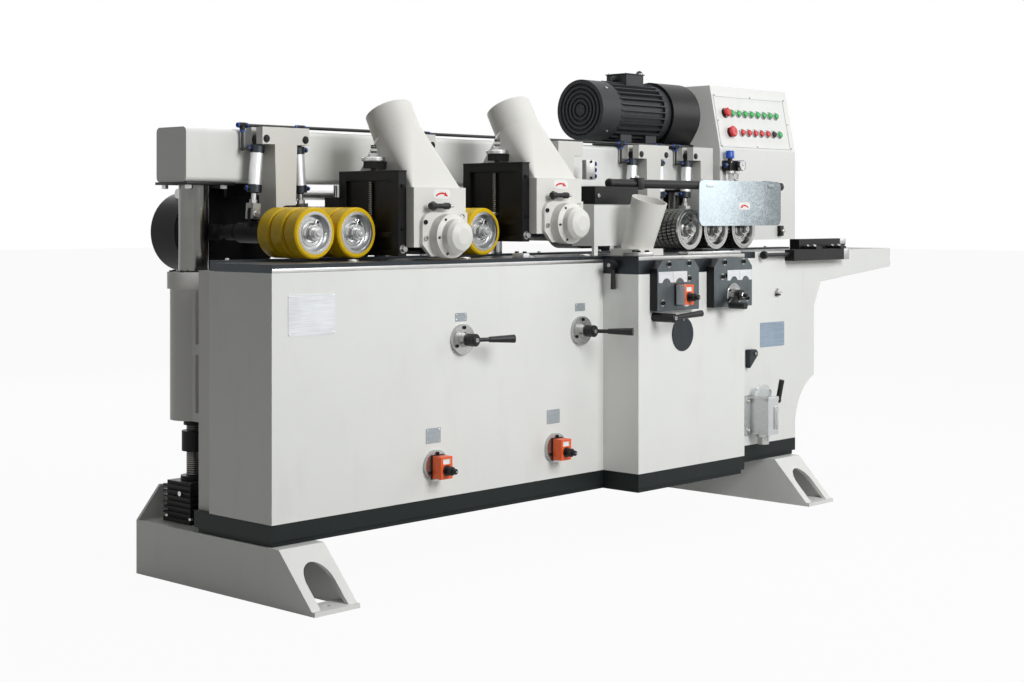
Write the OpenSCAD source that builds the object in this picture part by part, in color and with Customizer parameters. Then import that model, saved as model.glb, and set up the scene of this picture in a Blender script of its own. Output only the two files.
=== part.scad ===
// Four sided moulder: a floor machine that planes and profiles timber on all four faces.
// X runs along the feed path towards the infeed end, Y to the back, Z up from the floor.

/* [Base] */
// Width of each foot along the machine
foot_w = 150; // [120:1:180]
// Depth of each foot from toe to heel
foot_d = 767; // [740:1:820]
// Height of the foot channel
foot_h = 149; // [130:1:170]
// Reach of the heel behind the guide posts
heel_reach = 120; // [105:1:135]
// Run of the sloped toe face
toe_run = 141; // [110:1:160]
// Plate thickness of the feet
foot_wall = 10; // [6:1:14]
// Thickness of the anchor pads
pad_t = 12; // [8:1:16]
// Length of the anchor pads
pad_l = 80; // [60:1:110]
// Diameter of the anchor holes
anchor_d = 18; // [12:1:24]
// Width of the arched opening in the toe
arch_w = 92; // [60:1:110]
// Distance from the base's right end to the right foot
foot_inset = 18; // [5:1:60]
// Height of the heel guard above the foot
heel_guard_h = 92; // [60:1:120]
// Height of the packing plate under the plinth
pack_h = 14; // [8:1:24]
// Height of the plinth band
plinth_h = 44; // [30:1:60]
// Step of the packing plate behind the plinth face
pack_step = 8; // [2:1:20]

/* [Cabinet and bed] */
// Length of the main cabinet up to the front block
cab_l = 1306; // [1290:1:1340]
// Depth of the cabinet
cab_d = 263; // [255:1:290]
// Wall of the cabinet panels
cab_wall = 8; // [4:1:12]
// Height of the cabinet panels above the plinth
cab_h = 643; // [620:1:670]
// Length of the front block
block_l = 552; // [530:1:600]
// How far the front block stands out
block_out = 141; // [120:1:160]
// Step from the cabinet top down to the block top
block_drop = 33; // [20:1:50]
// Length of the right cabinet at its base
right_l = 507; // [490:1:540]
// Overhang of the flared right end
flare_out = 120; // [80:1:150]
// Height of the concave flare
flare_h = 173; // [140:1:200]
// Height of the flare's foot above the plinth
flare_z = 43; // [30:1:80]
// Thickness of the bed casting behind the cabinet
bed_t = 67; // [60:1:80]
// Inset of the bed casting from the base ends
bed_inset = 15; // [5:1:30]
// Width of the ribs in the bed casting
bed_rib = 90; // [60:1:110]
// Number of windows in the bed casting
bed_windows = 6; // [4:1:8]

/* [Tables and fences] */
// Thickness of the table plates
table_t = 22; // [16:1:30]
// Depth of the tables
table_d = 240; // [236:1:250]
// Length of the infeed casting ahead of the base
infeed_over = 647; // [600:1:700]
// Length of the infeed casting's root over the right cabinet
infeed_root = 246; // [200:1:270]
// Depth of the infeed tip
infeed_tip = 70; // [55:1:85]
// Drop of the apron seam at its left end below the table top
seam_drop = 109; // [100:1:120]
// Drop of the apron seam at its right end below the table top
seam_low = 199; // [180:1:215]
// Width of the fence bars
fence_w = 45; // [30:1:60]
// Height of the fence bars above the table
fence_up = 6; // [3:1:7]

/* [Columns and beam] */
// Diameter of the chrome guide posts
post_d = 84; // [70:1:90]
// Distance of the left post from the cabinet end
post_x = 107; // [90:1:115]
// Distance of the right post from the base's right end
post_right = 82; // [78:1:90]
// Depth of the posts behind the cabinet front
post_y = 478; // [470:1:486]
// Wall of the sleeve round each post
sleeve_wall = 23; // [16:1:26]
// Height of the sleeve's foot above the floor
sleeve_z = 432; // [400:1:450]
// Height of the column castings
sleeve_h = 409; // [380:1:415]
// Diameter of the lifting screws
screw_d = 40; // [30:1:50]
// Left end of the beam
beam_x = 32; // [20:1:50]
// Distance from the beam's right end to the base's right end
beam_right = 20; // [15:1:25]
// Front face of the beam behind the cabinet front
beam_y = 410; // [408:1:414]
// Depth of the beam
beam_d = 138; // [134:1:142]
// Height of the beam
beam_h = 151; // [145:1:156]
// Height of the beam's underside above the table
beam_up = 218; // [216:1:226]
// Corner radius of the beam
beam_r = 14; // [6:1:20]
// Wall of the hollow beam
beam_wall = 10; // [6:1:16]

/* [Feed rollers] */
// Diameter of the feed rollers
roller_d = 140; // [136:1:141]
// Gap under the rollers at rest
roller_gap = 8; // [7:1:12]
// Front face of the rollers behind the cabinet front
roller_y = 117; // [112:1:119]
// Width of one tyre
tyre_w = 50; // [46:1:50]
// Gap between tyres
tyre_gap = 8; // [5:1:8]
// Thickness of the tyres
tyre_t = 12; // [9:1:15]
// Diameter of the roller axles
axle_d = 36; // [30:1:38]
// Number of teeth round a toothed roller
tooth_count = 36; // [30:1:40]
// Depth of the teeth
tooth_h = 5; // [4:1:6]
// Number of toothed rings on a roller
tooth_rings = 8; // [6:1:9]
// Offset of an axle from its bracket's centre
arm_x = 75; // [74:1:76]
// Drop of an axle below its arm's pivot
arm_drop = 50; // [48:1:52]
// Thickness of an arm plate
arm_t = 17; // [14:1:17]
// Centre of the first roller bracket
stem_a = 318; // [310:1:322]
// Centre of the second roller bracket
stem_b = 820; // [815:1:822]
// Centre of the valve bracket
stem_c = 1511; // [1500:1:1520]
// Distance of the third roller bracket from the base's right end
stem_e_in = 387; // [386:1:395]
// Distance of the fourth roller bracket from the base's right end
stem_d_in = 74; // [73:1:77]
// Half length of a bracket's head
head_half = 84; // [82:1:90]
// Height of a bracket's head
head_h = 48; // [40:1:54]
// Half width of a bracket's stem at the top
stem_half = 40; // [36:1:42]
// Half width of a bracket's stem at the pivot
stem_toe = 34.5; // [30:0.5:36]
// Thickness of a bracket
bracket_t = 77; // [74:1:78]
// Offset of a cylinder's top pin from its bracket's centre
cyl_x = 70; // [69:1:72]
// Diameter of the cylinder barrels
cyl_d = 37; // [32:1:38]
// Length of the cylinder barrels between their caps
cyl_l = 92; // [80:1:96]
// Diameter of the cylinder rods
rod_d = 16; // [12:1:18]

/* [Top heads] */
// Place of the first top spindle along the machine
head_1_x = 617; // [612:1:622]
// Place of the second top spindle along the machine
head_2_x = 1121; // [1119:1:1130]
// Height of the first top spindle above the table
head_1_up = 68; // [66:1:80]
// Height of the second top spindle above the table
head_2_up = 102; // [95:1:110]
// Width of a hood
hood_w = 203; // [196:1:206]
// Front face of the hoods behind the cabinet front
hood_y = 10; // [4:1:14]
// Depth of a hood
hood_d = 280; // [276:1:281]
// Height of a hood's box
hood_h = 167; // [160:1:175]
// Wall of a hood
hood_wall = 8; // [5:1:10]
// Outer diameter of the dust spigots
spigot_d = 140; // [120:1:144]
// Length of the dust spigots
spigot_l = 85; // [60:1:100]
// Lean of the dust spigots towards the back
spigot_lean = 28; // [20:1:32]
// Height of a spigot's root above its spindle
spigot_up = 283; // [270:1:300]
// Depth of a spigot's root behind the hood front
spigot_in = 173; // [165:1:180]
// Diameter of the spindles
spindle_d = 40; // [30:1:45]
// Cutting diameter of the cutter blocks
cutter_d = 108; // [100:1:110]
// Height of the knives above a cutter block
knife_h = 6; // [4:1:8]
// Diameter of the head guide posts
guide_d = 36; // [30:1:40]
// Half spacing of the head guide posts
guide_half = 80; // [78:1:84]
// Diameter of the head motors
head_motor_d = 170; // [150:1:174]
// Thickness of a pressure shoe
shoe_t = 30; // [24:1:30]
// Height of a pressure shoe
shoe_h = 235; // [225:1:236]
// Diameter of a pressure shoe's setting disc
disc_d = 65; // [50:1:68]

/* [Lower spindles] */
// Place of the front side spindle along the machine
side_1_x = 1466; // [1460:1:1470]
// Distance of the rear side spindle from the base's right end
side_2_in = 605; // [601:1:615]
// Place of the rear side spindle behind the cabinet front
side_2_y = 296; // [295:1:300]
// Cutting diameter of the side cutters
side_cutter_d = 100; // [90:1:104]
// Diameter of the lower motors
motor_d = 160; // [140:1:166]
// Distance of the bottom spindle from the base's right end
bottom_in = 387; // [380:1:395]

/* [Drive] */
// Diameter of the feed motor over its ribs
drive_motor_d = 216; // [200:1:220]
// Length of the feed motor
drive_motor_l = 382; // [360:1:400]
// Distance of the feed motor's left end from the base's right end
drive_motor_in = 617; // [615:1:635]
// Number of ribs round the feed motor
rib_count = 30; // [20:1:36]
// Width of the belt guard
guard_l = 158; // [140:1:160]
// Diameter of the feed shaft
shaft_d = 30; // [24:1:34]
// Depth of the feed shaft behind the cabinet front
shaft_y = 660; // [655:1:668]
// Height of the feed shaft above the table
shaft_up = 188; // [184:1:192]
// Radius of the first gear reducer
reducer_r = 115; // [100:1:118]
// Radius of the other gear reducers
small_r = 72; // [66:1:73]
// Depth of the gear reducers
reducer_d = 115; // [100:1:118]

/* [Console] */
// Gap from the beam's right end to the console
console_gap = 13; // [8:1:20]
// Width of the console
console_w = 492; // [460:1:520]
// Front face of the console behind the cabinet front
console_y = 325; // [315:1:335]
// Depth of the console
console_d = 275; // [265:1:285]
// Underside of the console above the table
console_up = 33; // [25:1:45]
// Height of the upright lower part of the console
console_low = 339; // [325:1:350]
// Height of the sloped operator panel
panel_h = 236; // [225:1:250]
// Setback of the operator panel at its top
panel_back = 47; // [35:1:60]
// Pitch of the push buttons
button_pitch = 41; // [38:1:42]
// Diameter of the push buttons
button_d = 22; // [16:1:24]
// Travel of the push buttons
button_travel = 4; // [2:1:4]

/* [Controls and guards] */
// Diameter of the round control flanges
flange_d = 87; // [70:1:95]
// Thickness of the adjuster plates
plate_t = 30; // [20:1:36]
// Height of the adjuster plates
plate_h = 156; // [140:1:165]
// Length of a clamp lever
lever_l = 130; // [100:1:150]
// Reach of the hand crank's arm
crank_r = 52; // [40:1:60]
// Length of the hand crank's grip
crank_grip = 48; // [40:1:60]
// Diameter of the guard rail
rail_d = 29; // [24:1:34]
// Depth of the guard rail behind the cabinet front
rail_y = 72; // [68:1:76]
// Height of the guard rail above the table
rail_up = 228; // [224:1:240]
// Length of the roller guard
flap_l = 482; // [450:1:486]
// Height of the roller guard
flap_h = 155; // [140:1:160]
// Thickness of the roller guard
flap_t = 3; // [2:1:4]
// Bottom diameter of the side dust funnel
funnel_d = 96; // [90:1:98]
// Mouth diameter of the side dust funnel
funnel_mouth = 114; // [100:1:120]
// Length of the side dust funnel
funnel_l = 165; // [140:1:180]
// Lean of the side dust funnel towards the front
funnel_lean = 18; // [10:1:20]

/* [Fits] */
// Radial clearance of shafts running in bores
run_fit = 0.05; // [0.03:0.01:0.1]
// Gap between pieces that pass each other
pass_gap = 0.4; // [0.3:0.1:0.8]
// Radial clearance of the lifting screws and eye pins
loose_fit = 1; // [0.5:0.1:1.5]

/* [Hidden] */
$fn = 48;
cut = 1;

// Levels above the floor
pack_z = foot_h + pack_h;
plinth_z = pack_z + plinth_h;
cab_top = plinth_z + cab_h;
table_z = cab_top + table_t;
block_top = cab_top - block_drop;
beam_z = table_z + beam_up;
beam_top = beam_z + beam_h;
axle_z = table_z + roller_gap + roller_d / 2;
pivot_z = axle_z + arm_drop;
shaft_z = table_z + shaft_up;
rail_z = table_z + rail_up;
drive_z = beam_top + 17 + drive_motor_d / 2;

// Places along the machine
block_x = cab_l;
right_x = cab_l + block_l;
base_l = right_x + right_l;
tip_x = base_l + infeed_over;
foot_right = base_l - foot_inset - foot_w;
posts = [post_x, base_l - post_right];
beam_end = base_l - beam_right;
console_x = beam_end + console_gap;
stem_e = base_l - stem_e_in;
stem_d = base_l - stem_d_in;
side_2_x = base_l - side_2_in;
bottom_x = base_l - bottom_in;
drive_motor_x = base_l - drive_motor_in;
guard_x = drive_motor_x + drive_motor_l;

// Places behind the cabinet front
heel_y = post_y + heel_reach;
foot_toe = foot_d - heel_y;
bed_back = cab_d + bed_t;
beam_back = beam_y + beam_d;
bracket_y = beam_y - bracket_t;
roller_w = 3 * tyre_w + 2 * tyre_gap;
roller_back = roller_y + roller_w;
arm_y = roller_back + 9;
cyl_y = bracket_y + bracket_t / 2;
tube_back = arm_y + 148;
carriage_y = hood_y + hood_d;
guide_y = bed_back + 28;
carriage_back = guide_y + 28;
reducer_y = shaft_y - 60;
axle_back = reducer_y - 22;
plate_y = -block_out - plate_t;
collar_y = plate_y - 18;
guard_low_y = shaft_y + 5;
guard_low_r = 75;

// Reference point at the middle of the footprint
front_y = collar_y - pass_gap - 12 - crank_grip;
rear_y = guard_low_y + guard_low_r;
origin_x = tip_x / 2;
origin_y = (front_y + rear_y) / 2;

// Feed rollers: bracket centre, side of the bracket, toothed or not
rollers = [
    [stem_a, -1, false], [stem_a, 1, false], [stem_b, 1, false],
    [stem_e, -1, true], [stem_e, 1, true], [stem_d, -1, true]
];
function axle_x(i) = rollers[i][0] + rollers[i][1] * arm_x;

// Air cylinders lean outwards from their top pin to the rod eye
cyl_z = beam_top - 29;
eye_x = 88;
cyl_drop = cyl_z - pivot_z;
cyl_lean = atan2(eye_x - cyl_x, cyl_drop);
cyl_reach = norm([eye_x - cyl_x, cyl_drop]);
eye_pin_r = 6;
pivot_r = 12;
cap_l = 20;
cap_start = 18;
barrel_end = cap_start + cap_l + cyl_l;

// Top heads: place along the machine and spindle height
heads = [[head_1_x, table_z + head_1_up], [head_2_x, table_z + head_2_up]];
hood_left = 110;
hood_right = hood_w - hood_left;
hood_drop = 31;
carriage_half = guide_half + 32;
disc_up = 210;

panel_tilt = atan2(panel_back, panel_h);
console_z = table_z + console_up;
panel_z = console_z + console_low;

// Moves a piece from machine places to the reference point
module place() {
    translate([-origin_x, -origin_y, 0]) children();
}

// Box between two corners
module span(x0, x1, y0, y1, z0, z1) {
    translate([x0, y0, z0]) cube([x1 - x0, y1 - y0, z1 - z0]);
}

// Round bars along each axis
module bar_x(x0, x1, y, z, r) {
    translate([x0, y, z]) rotate([0, 90, 0]) cylinder(h = x1 - x0, r = r);
}
module bar_y(x, y0, y1, z, r) {
    translate([x, y0, z]) rotate([-90, 0, 0]) cylinder(h = y1 - y0, r = r);
}
module bar_z(x, y, z0, z1, r) {
    translate([x, y, z0]) cylinder(h = z1 - z0, r = r);
}

// Outline in X and Z pushed through in Y, and outline in Y and Z pushed through in X
module through_y(y0, y1) {
    translate([0, y1, 0]) rotate([90, 0, 0]) linear_extrude(y1 - y0) children();
}
module through_x(x0, x1) {
    translate([x0, 0, 0]) rotate([90, 0, 90]) linear_extrude(x1 - x0) children();
}

// Outline of radius and Y turned about an axis along Y
module turned_y(x, z) {
    translate([x, 0, z]) rotate([-90, 0, 0]) rotate_extrude() children();
}

// Rectangle with round corners
module round_rect(x0, x1, y0, y1, r) {
    translate([x0 + r, y0]) square([x1 - x0 - 2 * r, y1 - y0]);
    translate([x0, y0 + r]) square([x1 - x0, y1 - y0 - 2 * r]);
    for (x = [x0 + r, x1 - r], y = [y0 + r, y1 - r]) translate([x, y]) circle(r);
}

// Feet: welded channels with a sloped, arched toe
module foot(x0) {
    slope_wall = foot_wall * norm([toe_run, foot_h]) / foot_h;
    toe_top = toe_run - foot_toe;
    x1 = x0 + foot_w;
    mid = x0 + foot_w / 2;
    arch_r = arch_w / 2;
    arch_top = foot_h - 36 - arch_r;
    difference() {
        union() {
            difference() {
                through_x(x0, x1)
                    polygon([[-foot_toe, 0], [toe_top, foot_h], [heel_y, foot_h], [heel_y, 0]]);
                through_x(x0 + foot_wall, x1 - foot_wall)
                    polygon([
                        [slope_wall - foot_toe, -cut], [toe_top + slope_wall, foot_h - foot_wall],
                        [heel_y - foot_wall, foot_h - foot_wall], [heel_y - foot_wall, -cut]
                    ]);
            }
            span(x0, x1, -foot_toe, pad_l - foot_toe, 0, pad_t);
            span(x0, x1, heel_y - pad_l, heel_y, 0, pad_t);
            through_y(heel_y - foot_wall, heel_y)
                polygon([
                    [x0, foot_h], [x1, foot_h],
                    [mid + foot_w / 4, foot_h + heel_guard_h], [mid, foot_h + heel_guard_h]
                ]);
        }
        through_y(-foot_toe - cut, toe_top + foot_wall) {
            translate([mid - arch_r, pad_t]) square([arch_w, arch_top - pad_t]);
            translate([mid, arch_top]) circle(arch_r);
        }
        for (y = [pad_l / 2 - foot_toe, heel_y - pad_l / 2])
            bar_z(mid, y, -cut, pad_t + cut, anchor_d / 2);
        for (x = posts) bar_z(x, post_y, foot_h - foot_wall - cut, foot_h + cut, screw_d / 2 + loose_fit);
    }
}
module base_feet() {
    color("whitesmoke") place() for (x = [0, foot_right]) foot(x);
}

// Plinth band on a packing plate, following the front block
module footprint(step) {
    translate([step, step]) square([base_l - 2 * step, bed_back - 2 * step]);
    translate([block_x + step, step - block_out]) square([block_l - 2 * step, block_out]);
}
module base_plinth() {
    color([0.1, 0.15, 0.15]) place() {
        translate([0, 0, foot_h]) linear_extrude(pack_h) footprint(pack_step);
        translate([0, 0, pack_z]) linear_extrude(plinth_h) footprint(0);
    }
}

// Sheet cabinet with a front block and a flared right end, open at the back
module right_outline() {
    flare_r = (flare_out * flare_out + flare_h * flare_h) / (2 * flare_out);
    flare_x = base_l + flare_out;
    root_x = base_l - infeed_root;
    difference() {
        polygon([
            [right_x - cut, plinth_z], [base_l, plinth_z], [base_l, plinth_z + flare_z],
            [flare_x, plinth_z + flare_z], [flare_x, table_z - seam_low],
            [root_x, table_z - seam_drop], [root_x, cab_top], [right_x - cut, cab_top]
        ]);
        translate([base_l + flare_r, plinth_z + flare_z]) circle(flare_r);
    }
}
module cabinet_shell() {
    floor_z = plinth_z + cab_wall;
    color("whitesmoke") place() difference() {
        union() {
            span(0, block_x + cut, 0, cab_d, plinth_z, cab_top);
            span(block_x, right_x, -block_out, cab_d, plinth_z, block_top);
            through_y(0, cab_d) right_outline();
        }
        span(cab_wall, block_x, cab_wall, cab_d + cut, floor_z, cab_top - cab_wall);
        span(block_x - cut, right_x + cab_wall, cab_wall, cab_d + cut, floor_z, block_top - cab_wall);
        span(block_x + cab_wall, right_x - cab_wall, cab_wall - block_out, cab_wall + cut,
            floor_z, block_top - cab_wall);
        span(right_x + cab_wall - cut, base_l - cab_wall, cab_wall, cab_d + cut,
            floor_z, table_z - seam_low);
        span(right_x + cab_wall - cut, base_l - infeed_root - cab_wall, cab_wall, cab_d + cut,
            floor_z, cab_top - cab_wall);
        span(bottom_x - slot_half, bottom_x + slot_half, slot_y, cab_d + cut,
            block_top - 2 * cab_wall, cab_top + cut);
        bar_z(side_1_x, 0, block_top - 2 * cab_wall, block_top + cut, side_hole_r);
    }
}
slot_half = cutter_d / 2 + 8;
slot_y = 30;
side_hole_r = side_cutter_d / 2 + 8;

// Ribbed bed casting behind the cabinet, with guide posts for the top heads
module bed_casting() {
    x0 = bed_inset;
    x1 = base_l - bed_inset;
    pitch = (x1 - x0 - bed_rib) / bed_windows;
    notch_half = motor_d / 2 + 12;
    boss_z = cab_top - 90;
    color("gainsboro") place() {
        difference() {
            union() {
                span(x0, x1, cab_d, bed_back, plinth_z, cab_top);
                for (head = heads)
                    span(head[0] - carriage_half, head[0] + carriage_half,
                        cab_d, carriage_back, boss_z, cab_top);
            }
            for (i = [0 : bed_windows - 1])
                span(x0 + bed_rib + i * pitch, x0 + (i + 1) * pitch, cab_d - cut, bed_back + cut,
                    plinth_z + bed_rib, boss_z - 20);
            span(side_2_x - notch_half, side_2_x + notch_half, cab_d - cut, bed_back + cut,
                plinth_z + cab_wall, cab_top + cut);
            bar_y(bottom_x, cab_d - cut, bed_back + cut, bottom_z, spindle_d / 2 + 6);
            span(bottom_x - slot_half, bottom_x + slot_half, cab_d - cut, cab_d + 4,
                bottom_z - slot_half, cab_top + cut);
            for (head = heads, side = [-1, 1])
                bar_z(head[0] + side * guide_half, guide_y, guide_low, cab_top + cut, guide_d / 2 + run_fit);
        }
        for (head = heads, side = [-1, 1])
            bar_z(head[0] + side * guide_half, guide_y, guide_low + run_fit, guide_top, guide_d / 2);
    }
}
guide_low = cab_top - 70;
bottom_z = table_z - cutter_d / 2 - cut;
guide_top = beam_z - 5;

// Column castings: a bored sleeve on a ribbed web
module column(x) {
    web_half = post_d / 2;
    top = sleeve_z + sleeve_h;
    pocket_d = web_half - 14;
    pocket_h = sleeve_h / 2 - 45;
    difference() {
        union() {
            bar_z(x, post_y, sleeve_z, top, post_d / 2 + sleeve_wall);
            bar_z(x, post_y, top - 46, top, post_d / 2 + sleeve_wall + 8);
            span(x - web_half, x + web_half, bed_back, post_y, sleeve_z, top - 46);
        }
        bar_z(x, post_y, sleeve_z - cut, top + cut, post_d / 2 + run_fit);
        for (side = [-1, 1], row = [0, 1])
            translate([x + side * web_half, 0, sleeve_z + 24 + row * (pocket_h + 28)])
                span(-pocket_d, pocket_d, bed_back + 18, post_y - post_d / 2 - sleeve_wall, 0, pocket_h);
    }
}
module column_castings() {
    color("whitesmoke") place() for (x = posts) column(x);
}

// Lifting gearboxes on the feet, joined by a covered cross shaft
module lift_gearbox(x) {
    half_x = 58;
    half_y = 62;
    base_t = 12;
    top = foot_h + 113;
    difference() {
        union() {
            span(x - half_x, x + half_x, post_y - half_y, post_y + half_y, foot_h, foot_h + base_t);
            span(x - half_x + 8, x + half_x - 8, post_y - half_y + 8, post_y + half_y - 8, foot_h, top);
            for (i = [0 : 5])
                span(x - half_x, x + half_x, post_y - half_y, post_y + half_y,
                    foot_h + 22 + i * 15, foot_h + 28 + i * 15);
            bar_z(x, post_y, top - cut, top + 14, screw_d / 2 + 16);
            bar_y(x + 20, post_y - half_y - 26, post_y, foot_h + 62, 24);
        }
        bar_z(x, post_y, foot_h - cut, top + 15, screw_d / 2 + loose_fit);
    }
}
module lift_gearboxes() {
    color([0.12, 0.12, 0.13]) place() {
        for (x = posts) lift_gearbox(x);
        bar_x(posts[0] + 57, posts[1] - 57, post_y + 38, foot_h + 62, 15);
    }
}

// Ground table plates, open over the side and bottom cutters
module outfeed_table() {
    root_x = base_l - infeed_root;
    color("silver") place() difference() {
        union() {
            span(0, root_x, 0, table_d, cab_top, table_z);
            span(block_x, right_x, -block_out, 0, block_top, table_z);
            span(block_x, right_x, -cut, cut, cab_top, table_z);
            span(block_x + cut, right_x - cut, -cut, cab_d, block_top, cab_top);
            bar_x(block_x - clamp_pin_l, block_x + cut, side_clamp[0], side_clamp[1], pin_r);
        }
        bar_z(side_1_x, 0, block_top - cut, table_z + cut, side_hole_r);
        span(bottom_x - slot_half, bottom_x + slot_half, slot_y, cab_d + cut,
            block_top - cut, table_z + cut);
        bar_z(side_2_x, side_2_y, block_top - cut, table_z + cut, side_cutter_d / 2 + 10);
        span(side_2_x - motor_d / 2 - 4, side_2_x + motor_d / 2 + 4, side_2_y - 40, cab_d + cut,
            block_top - cut, cab_top + cut);
    }
}

// Infeed casting with a tapered apron, hollow underneath
module infeed_table() {
    root_x = base_l - infeed_root;
    flare_x = base_l + flare_out;
    low_z = table_z - seam_low;
    apron_x = flare_x + 44;
    apron_z = low_z + 84;
    tip_z = table_z - infeed_tip;
    rim = 16;
    color("whitesmoke") place() difference() {
        through_y(0, table_d)
            polygon([
                [root_x, table_z - seam_drop], [flare_x, low_z], [flare_x + 11, low_z + 17],
                [apron_x, apron_z], [tip_x, tip_z], [tip_x, table_z], [root_x, table_z]
            ]);
        through_y(rim, table_d - rim)
            polygon([
                [apron_x + rim, apron_z - 40], [tip_x - rim, tip_z - 40],
                [tip_x - rim, table_z - 26], [apron_x + rim, table_z - 26]
            ]);
    }
}

// Fence bars along the rear edge of the tables
module fence_bars() {
    gap = side_cutter_d / 2 + 34;
    top = table_z + fence_up;
    color("dimgray") place() {
        span(20, side_2_x - gap, fence_y, fence_y + fence_w, cab_top, top);
        span(side_2_x + gap, base_l + infeed_over / 2, fence_y, fence_y + fence_w, cab_top, top);
    }
}
fence_y = table_d + 2;

// Moves a shape onto the sloped operator panel: X along it, Y up it, Z out of it
module on_panel(u, v) {
    translate([console_x + u, console_y, panel_z]) rotate([90 - panel_tilt, 0, 0])
        translate([0, v, 0]) children();
}
row_1 = 138;
row_2 = 65;
stop_u = 66;
stop_step = 16;
first_u = 108;
row_shift = 47;
panel_frame = [10, 468, 8, 208];
frame_w = 8;
start_spots = [for (i = [0 : 7]) [first_u + i * button_pitch, row_1]];
stop_spots = [for (i = [0 : 6]) [first_u + row_shift + i * button_pitch, row_2]];
mushroom_spots = [[stop_u, row_1], [stop_u + stop_step, row_2]];
stem_r = 7;
bezel_h = 5;
bezel_wall = 3;

// Console on a leg that stands on the right foot
module console_cabinet() {
    leg_y = post_y + 76;
    leg_x = foot_right + foot_w - 57;
    back = console_y + console_d;
    color("whitesmoke") place() difference() {
        union() {
            through_x(console_x, console_x + console_w)
                polygon([
                    [console_y, console_z], [back, console_z], [back, panel_z + panel_h],
                    [console_y + panel_back, panel_z + panel_h], [console_y, panel_z]
                ]);
            span(leg_x, leg_x + 54, leg_y, leg_y + 33, foot_h, console_z - 24);
            span(leg_x, console_x + console_w * 0.6, leg_y, leg_y + 33, console_z - 24, console_z + cut);
            on_panel(0, 0) difference() {
                span(panel_frame[0], panel_frame[1], panel_frame[2], panel_frame[3], -2, 3);
                span(panel_frame[0] + frame_w, panel_frame[1] - frame_w,
                    panel_frame[2] + frame_w, panel_frame[3] - frame_w, -3, 4);
            }
            for (spot = concat(start_spots, stop_spots, mushroom_spots))
                on_panel(spot[0], spot[1])
                    translate([0, 0, -cut]) cylinder(h = bezel_h + cut, r = button_d / 2 + bezel_wall);
        }
        for (spot = concat(start_spots, stop_spots, mushroom_spots)) on_panel(spot[0], spot[1]) {
            translate([0, 0, -14]) cylinder(h = 30, r = stem_r + pass_gap);
            cylinder(h = 30, r = button_d / 2 + pass_gap);
        }
    }
}

// Push buttons in their bezels, and the two mushroom stops
module button_stem() {
    translate([0, 0, -8]) cylinder(h = 9 + button_travel, r = stem_r);
}
module push_buttons() {
    place() for (spot = concat(start_spots, stop_spots)) on_panel(spot[0], spot[1])
        color(spot[1] == row_1 ? "limegreen" : "crimson") {
            button_stem();
            translate([0, 0, button_travel + pass_gap]) cylinder(h = 6, r = button_d / 2);
        }
}
module emergency_stops() {
    color("red") place() for (spot = mushroom_spots) on_panel(spot[0], spot[1]) {
        big = spot[1] == row_2 ? 21 : 17;
        button_stem();
        translate([0, 0, button_travel + pass_gap]) cylinder(h = bezel_h + 3, r = stem_r + 2);
        translate([0, 0, bezel_h + button_travel + pass_gap])
            rotate_extrude() polygon([
                [0, 0], [big - 3, 0], [big, 4], [big, 8], [big - 5, 13], [0, 15]
            ]);
    }
}

// Control flanges on the cabinet front, and the two adjuster plates on the front block
clamp_spots = [[682, cab_top - 204], [1196, cab_top - 204]];
counter_spots = [[576, plinth_z + 93], [1077, plinth_z + 93]];
plate_1 = [1361, 1571];
plate_2 = [1651, right_x];
plate_z = table_z - 13 - plate_h;
plate_counter = [(plate_1[0] + plate_1[1]) / 2 + 6, plate_z + 52];
crank_spot = [(plate_2[0] + plate_2[1]) / 2, plate_z + 38];
flange_t = 12;
boss_y = -flange_t - 18;
pin_r = 8;
module adjuster_plate(ends) {
    corner = 26;
    top = plate_z + plate_h;
    through_y(plate_y, -block_out)
        polygon([
            [ends[0], plate_z], [ends[1], plate_z], [ends[1], top - corner],
            [ends[1] - corner, top], [ends[0] + corner, top], [ends[0], top - corner]
        ]);
}
module control_plates() {
    color("darkslategray") place() {
        adjuster_plate(plate_1);
        difference() {
            adjuster_plate(plate_2);
            span(plate_2[0] + 40, plate_2[1] - 40, plate_y - cut, plate_y + 4, plate_z + 94, plate_z + 108);
        }
        bar_y(crank_spot[0], collar_y, plate_y + cut, crank_spot[1], 22);
        bar_y(crank_spot[0], collar_y - 14, plate_y, crank_spot[1], pin_r);
        bar_y(front_clamp[0], -block_out - clamp_pin_l, -block_out, front_clamp[1], pin_r);
        for (spot = concat(clamp_spots, counter_spots)) bar_y(spot[0], -flange_t, 0, spot[1], flange_d / 2);
        for (spot = clamp_spots) {
            bar_y(spot[0], boss_y, 0, spot[1], 22);
            bar_y(spot[0], boss_y - 26, 0, spot[1], pin_r);
        }
    }
}

// Orange position counters with their setting shafts
module counter(x, y, z) {
    color("orangered") difference() {
        translate([x - 22, y - 38, z - 34]) cube([44, 38, 62]);
        translate([x - 14, y - 39, z + 8]) cube([28, 4, 14]);
    }
    color("dimgray") bar_y(x, y - 62, y - 37, z - 10, 9);
}
module position_counters() {
    place() {
        for (spot = counter_spots) counter(spot[0], -flange_t, spot[1]);
        counter(plate_counter[0], plate_y, plate_counter[1]);
    }
}

// Clamp levers on the control flanges
module clamp_lever(i) {
    spot = clamp_spots[i];
    hub_y = boss_y - pass_gap;
    swing = i == 0 ? 22 : 62;
    color([0.1, 0.1, 0.1]) place() difference() {
        union() {
            bar_y(spot[0], hub_y - 28, hub_y, spot[1], 18);
            translate([spot[0], hub_y - 15, spot[1]]) rotate([0, 90, -swing]) {
                cylinder(h = lever_l, r = 6);
                translate([0, 0, lever_l * 0.4]) cylinder(h = lever_l * 0.6, r1 = 8, r2 = 12);
            }
        }
        bar_y(spot[0], hub_y - 27, hub_y + cut, spot[1], pin_r + run_fit);
    }
}

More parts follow.
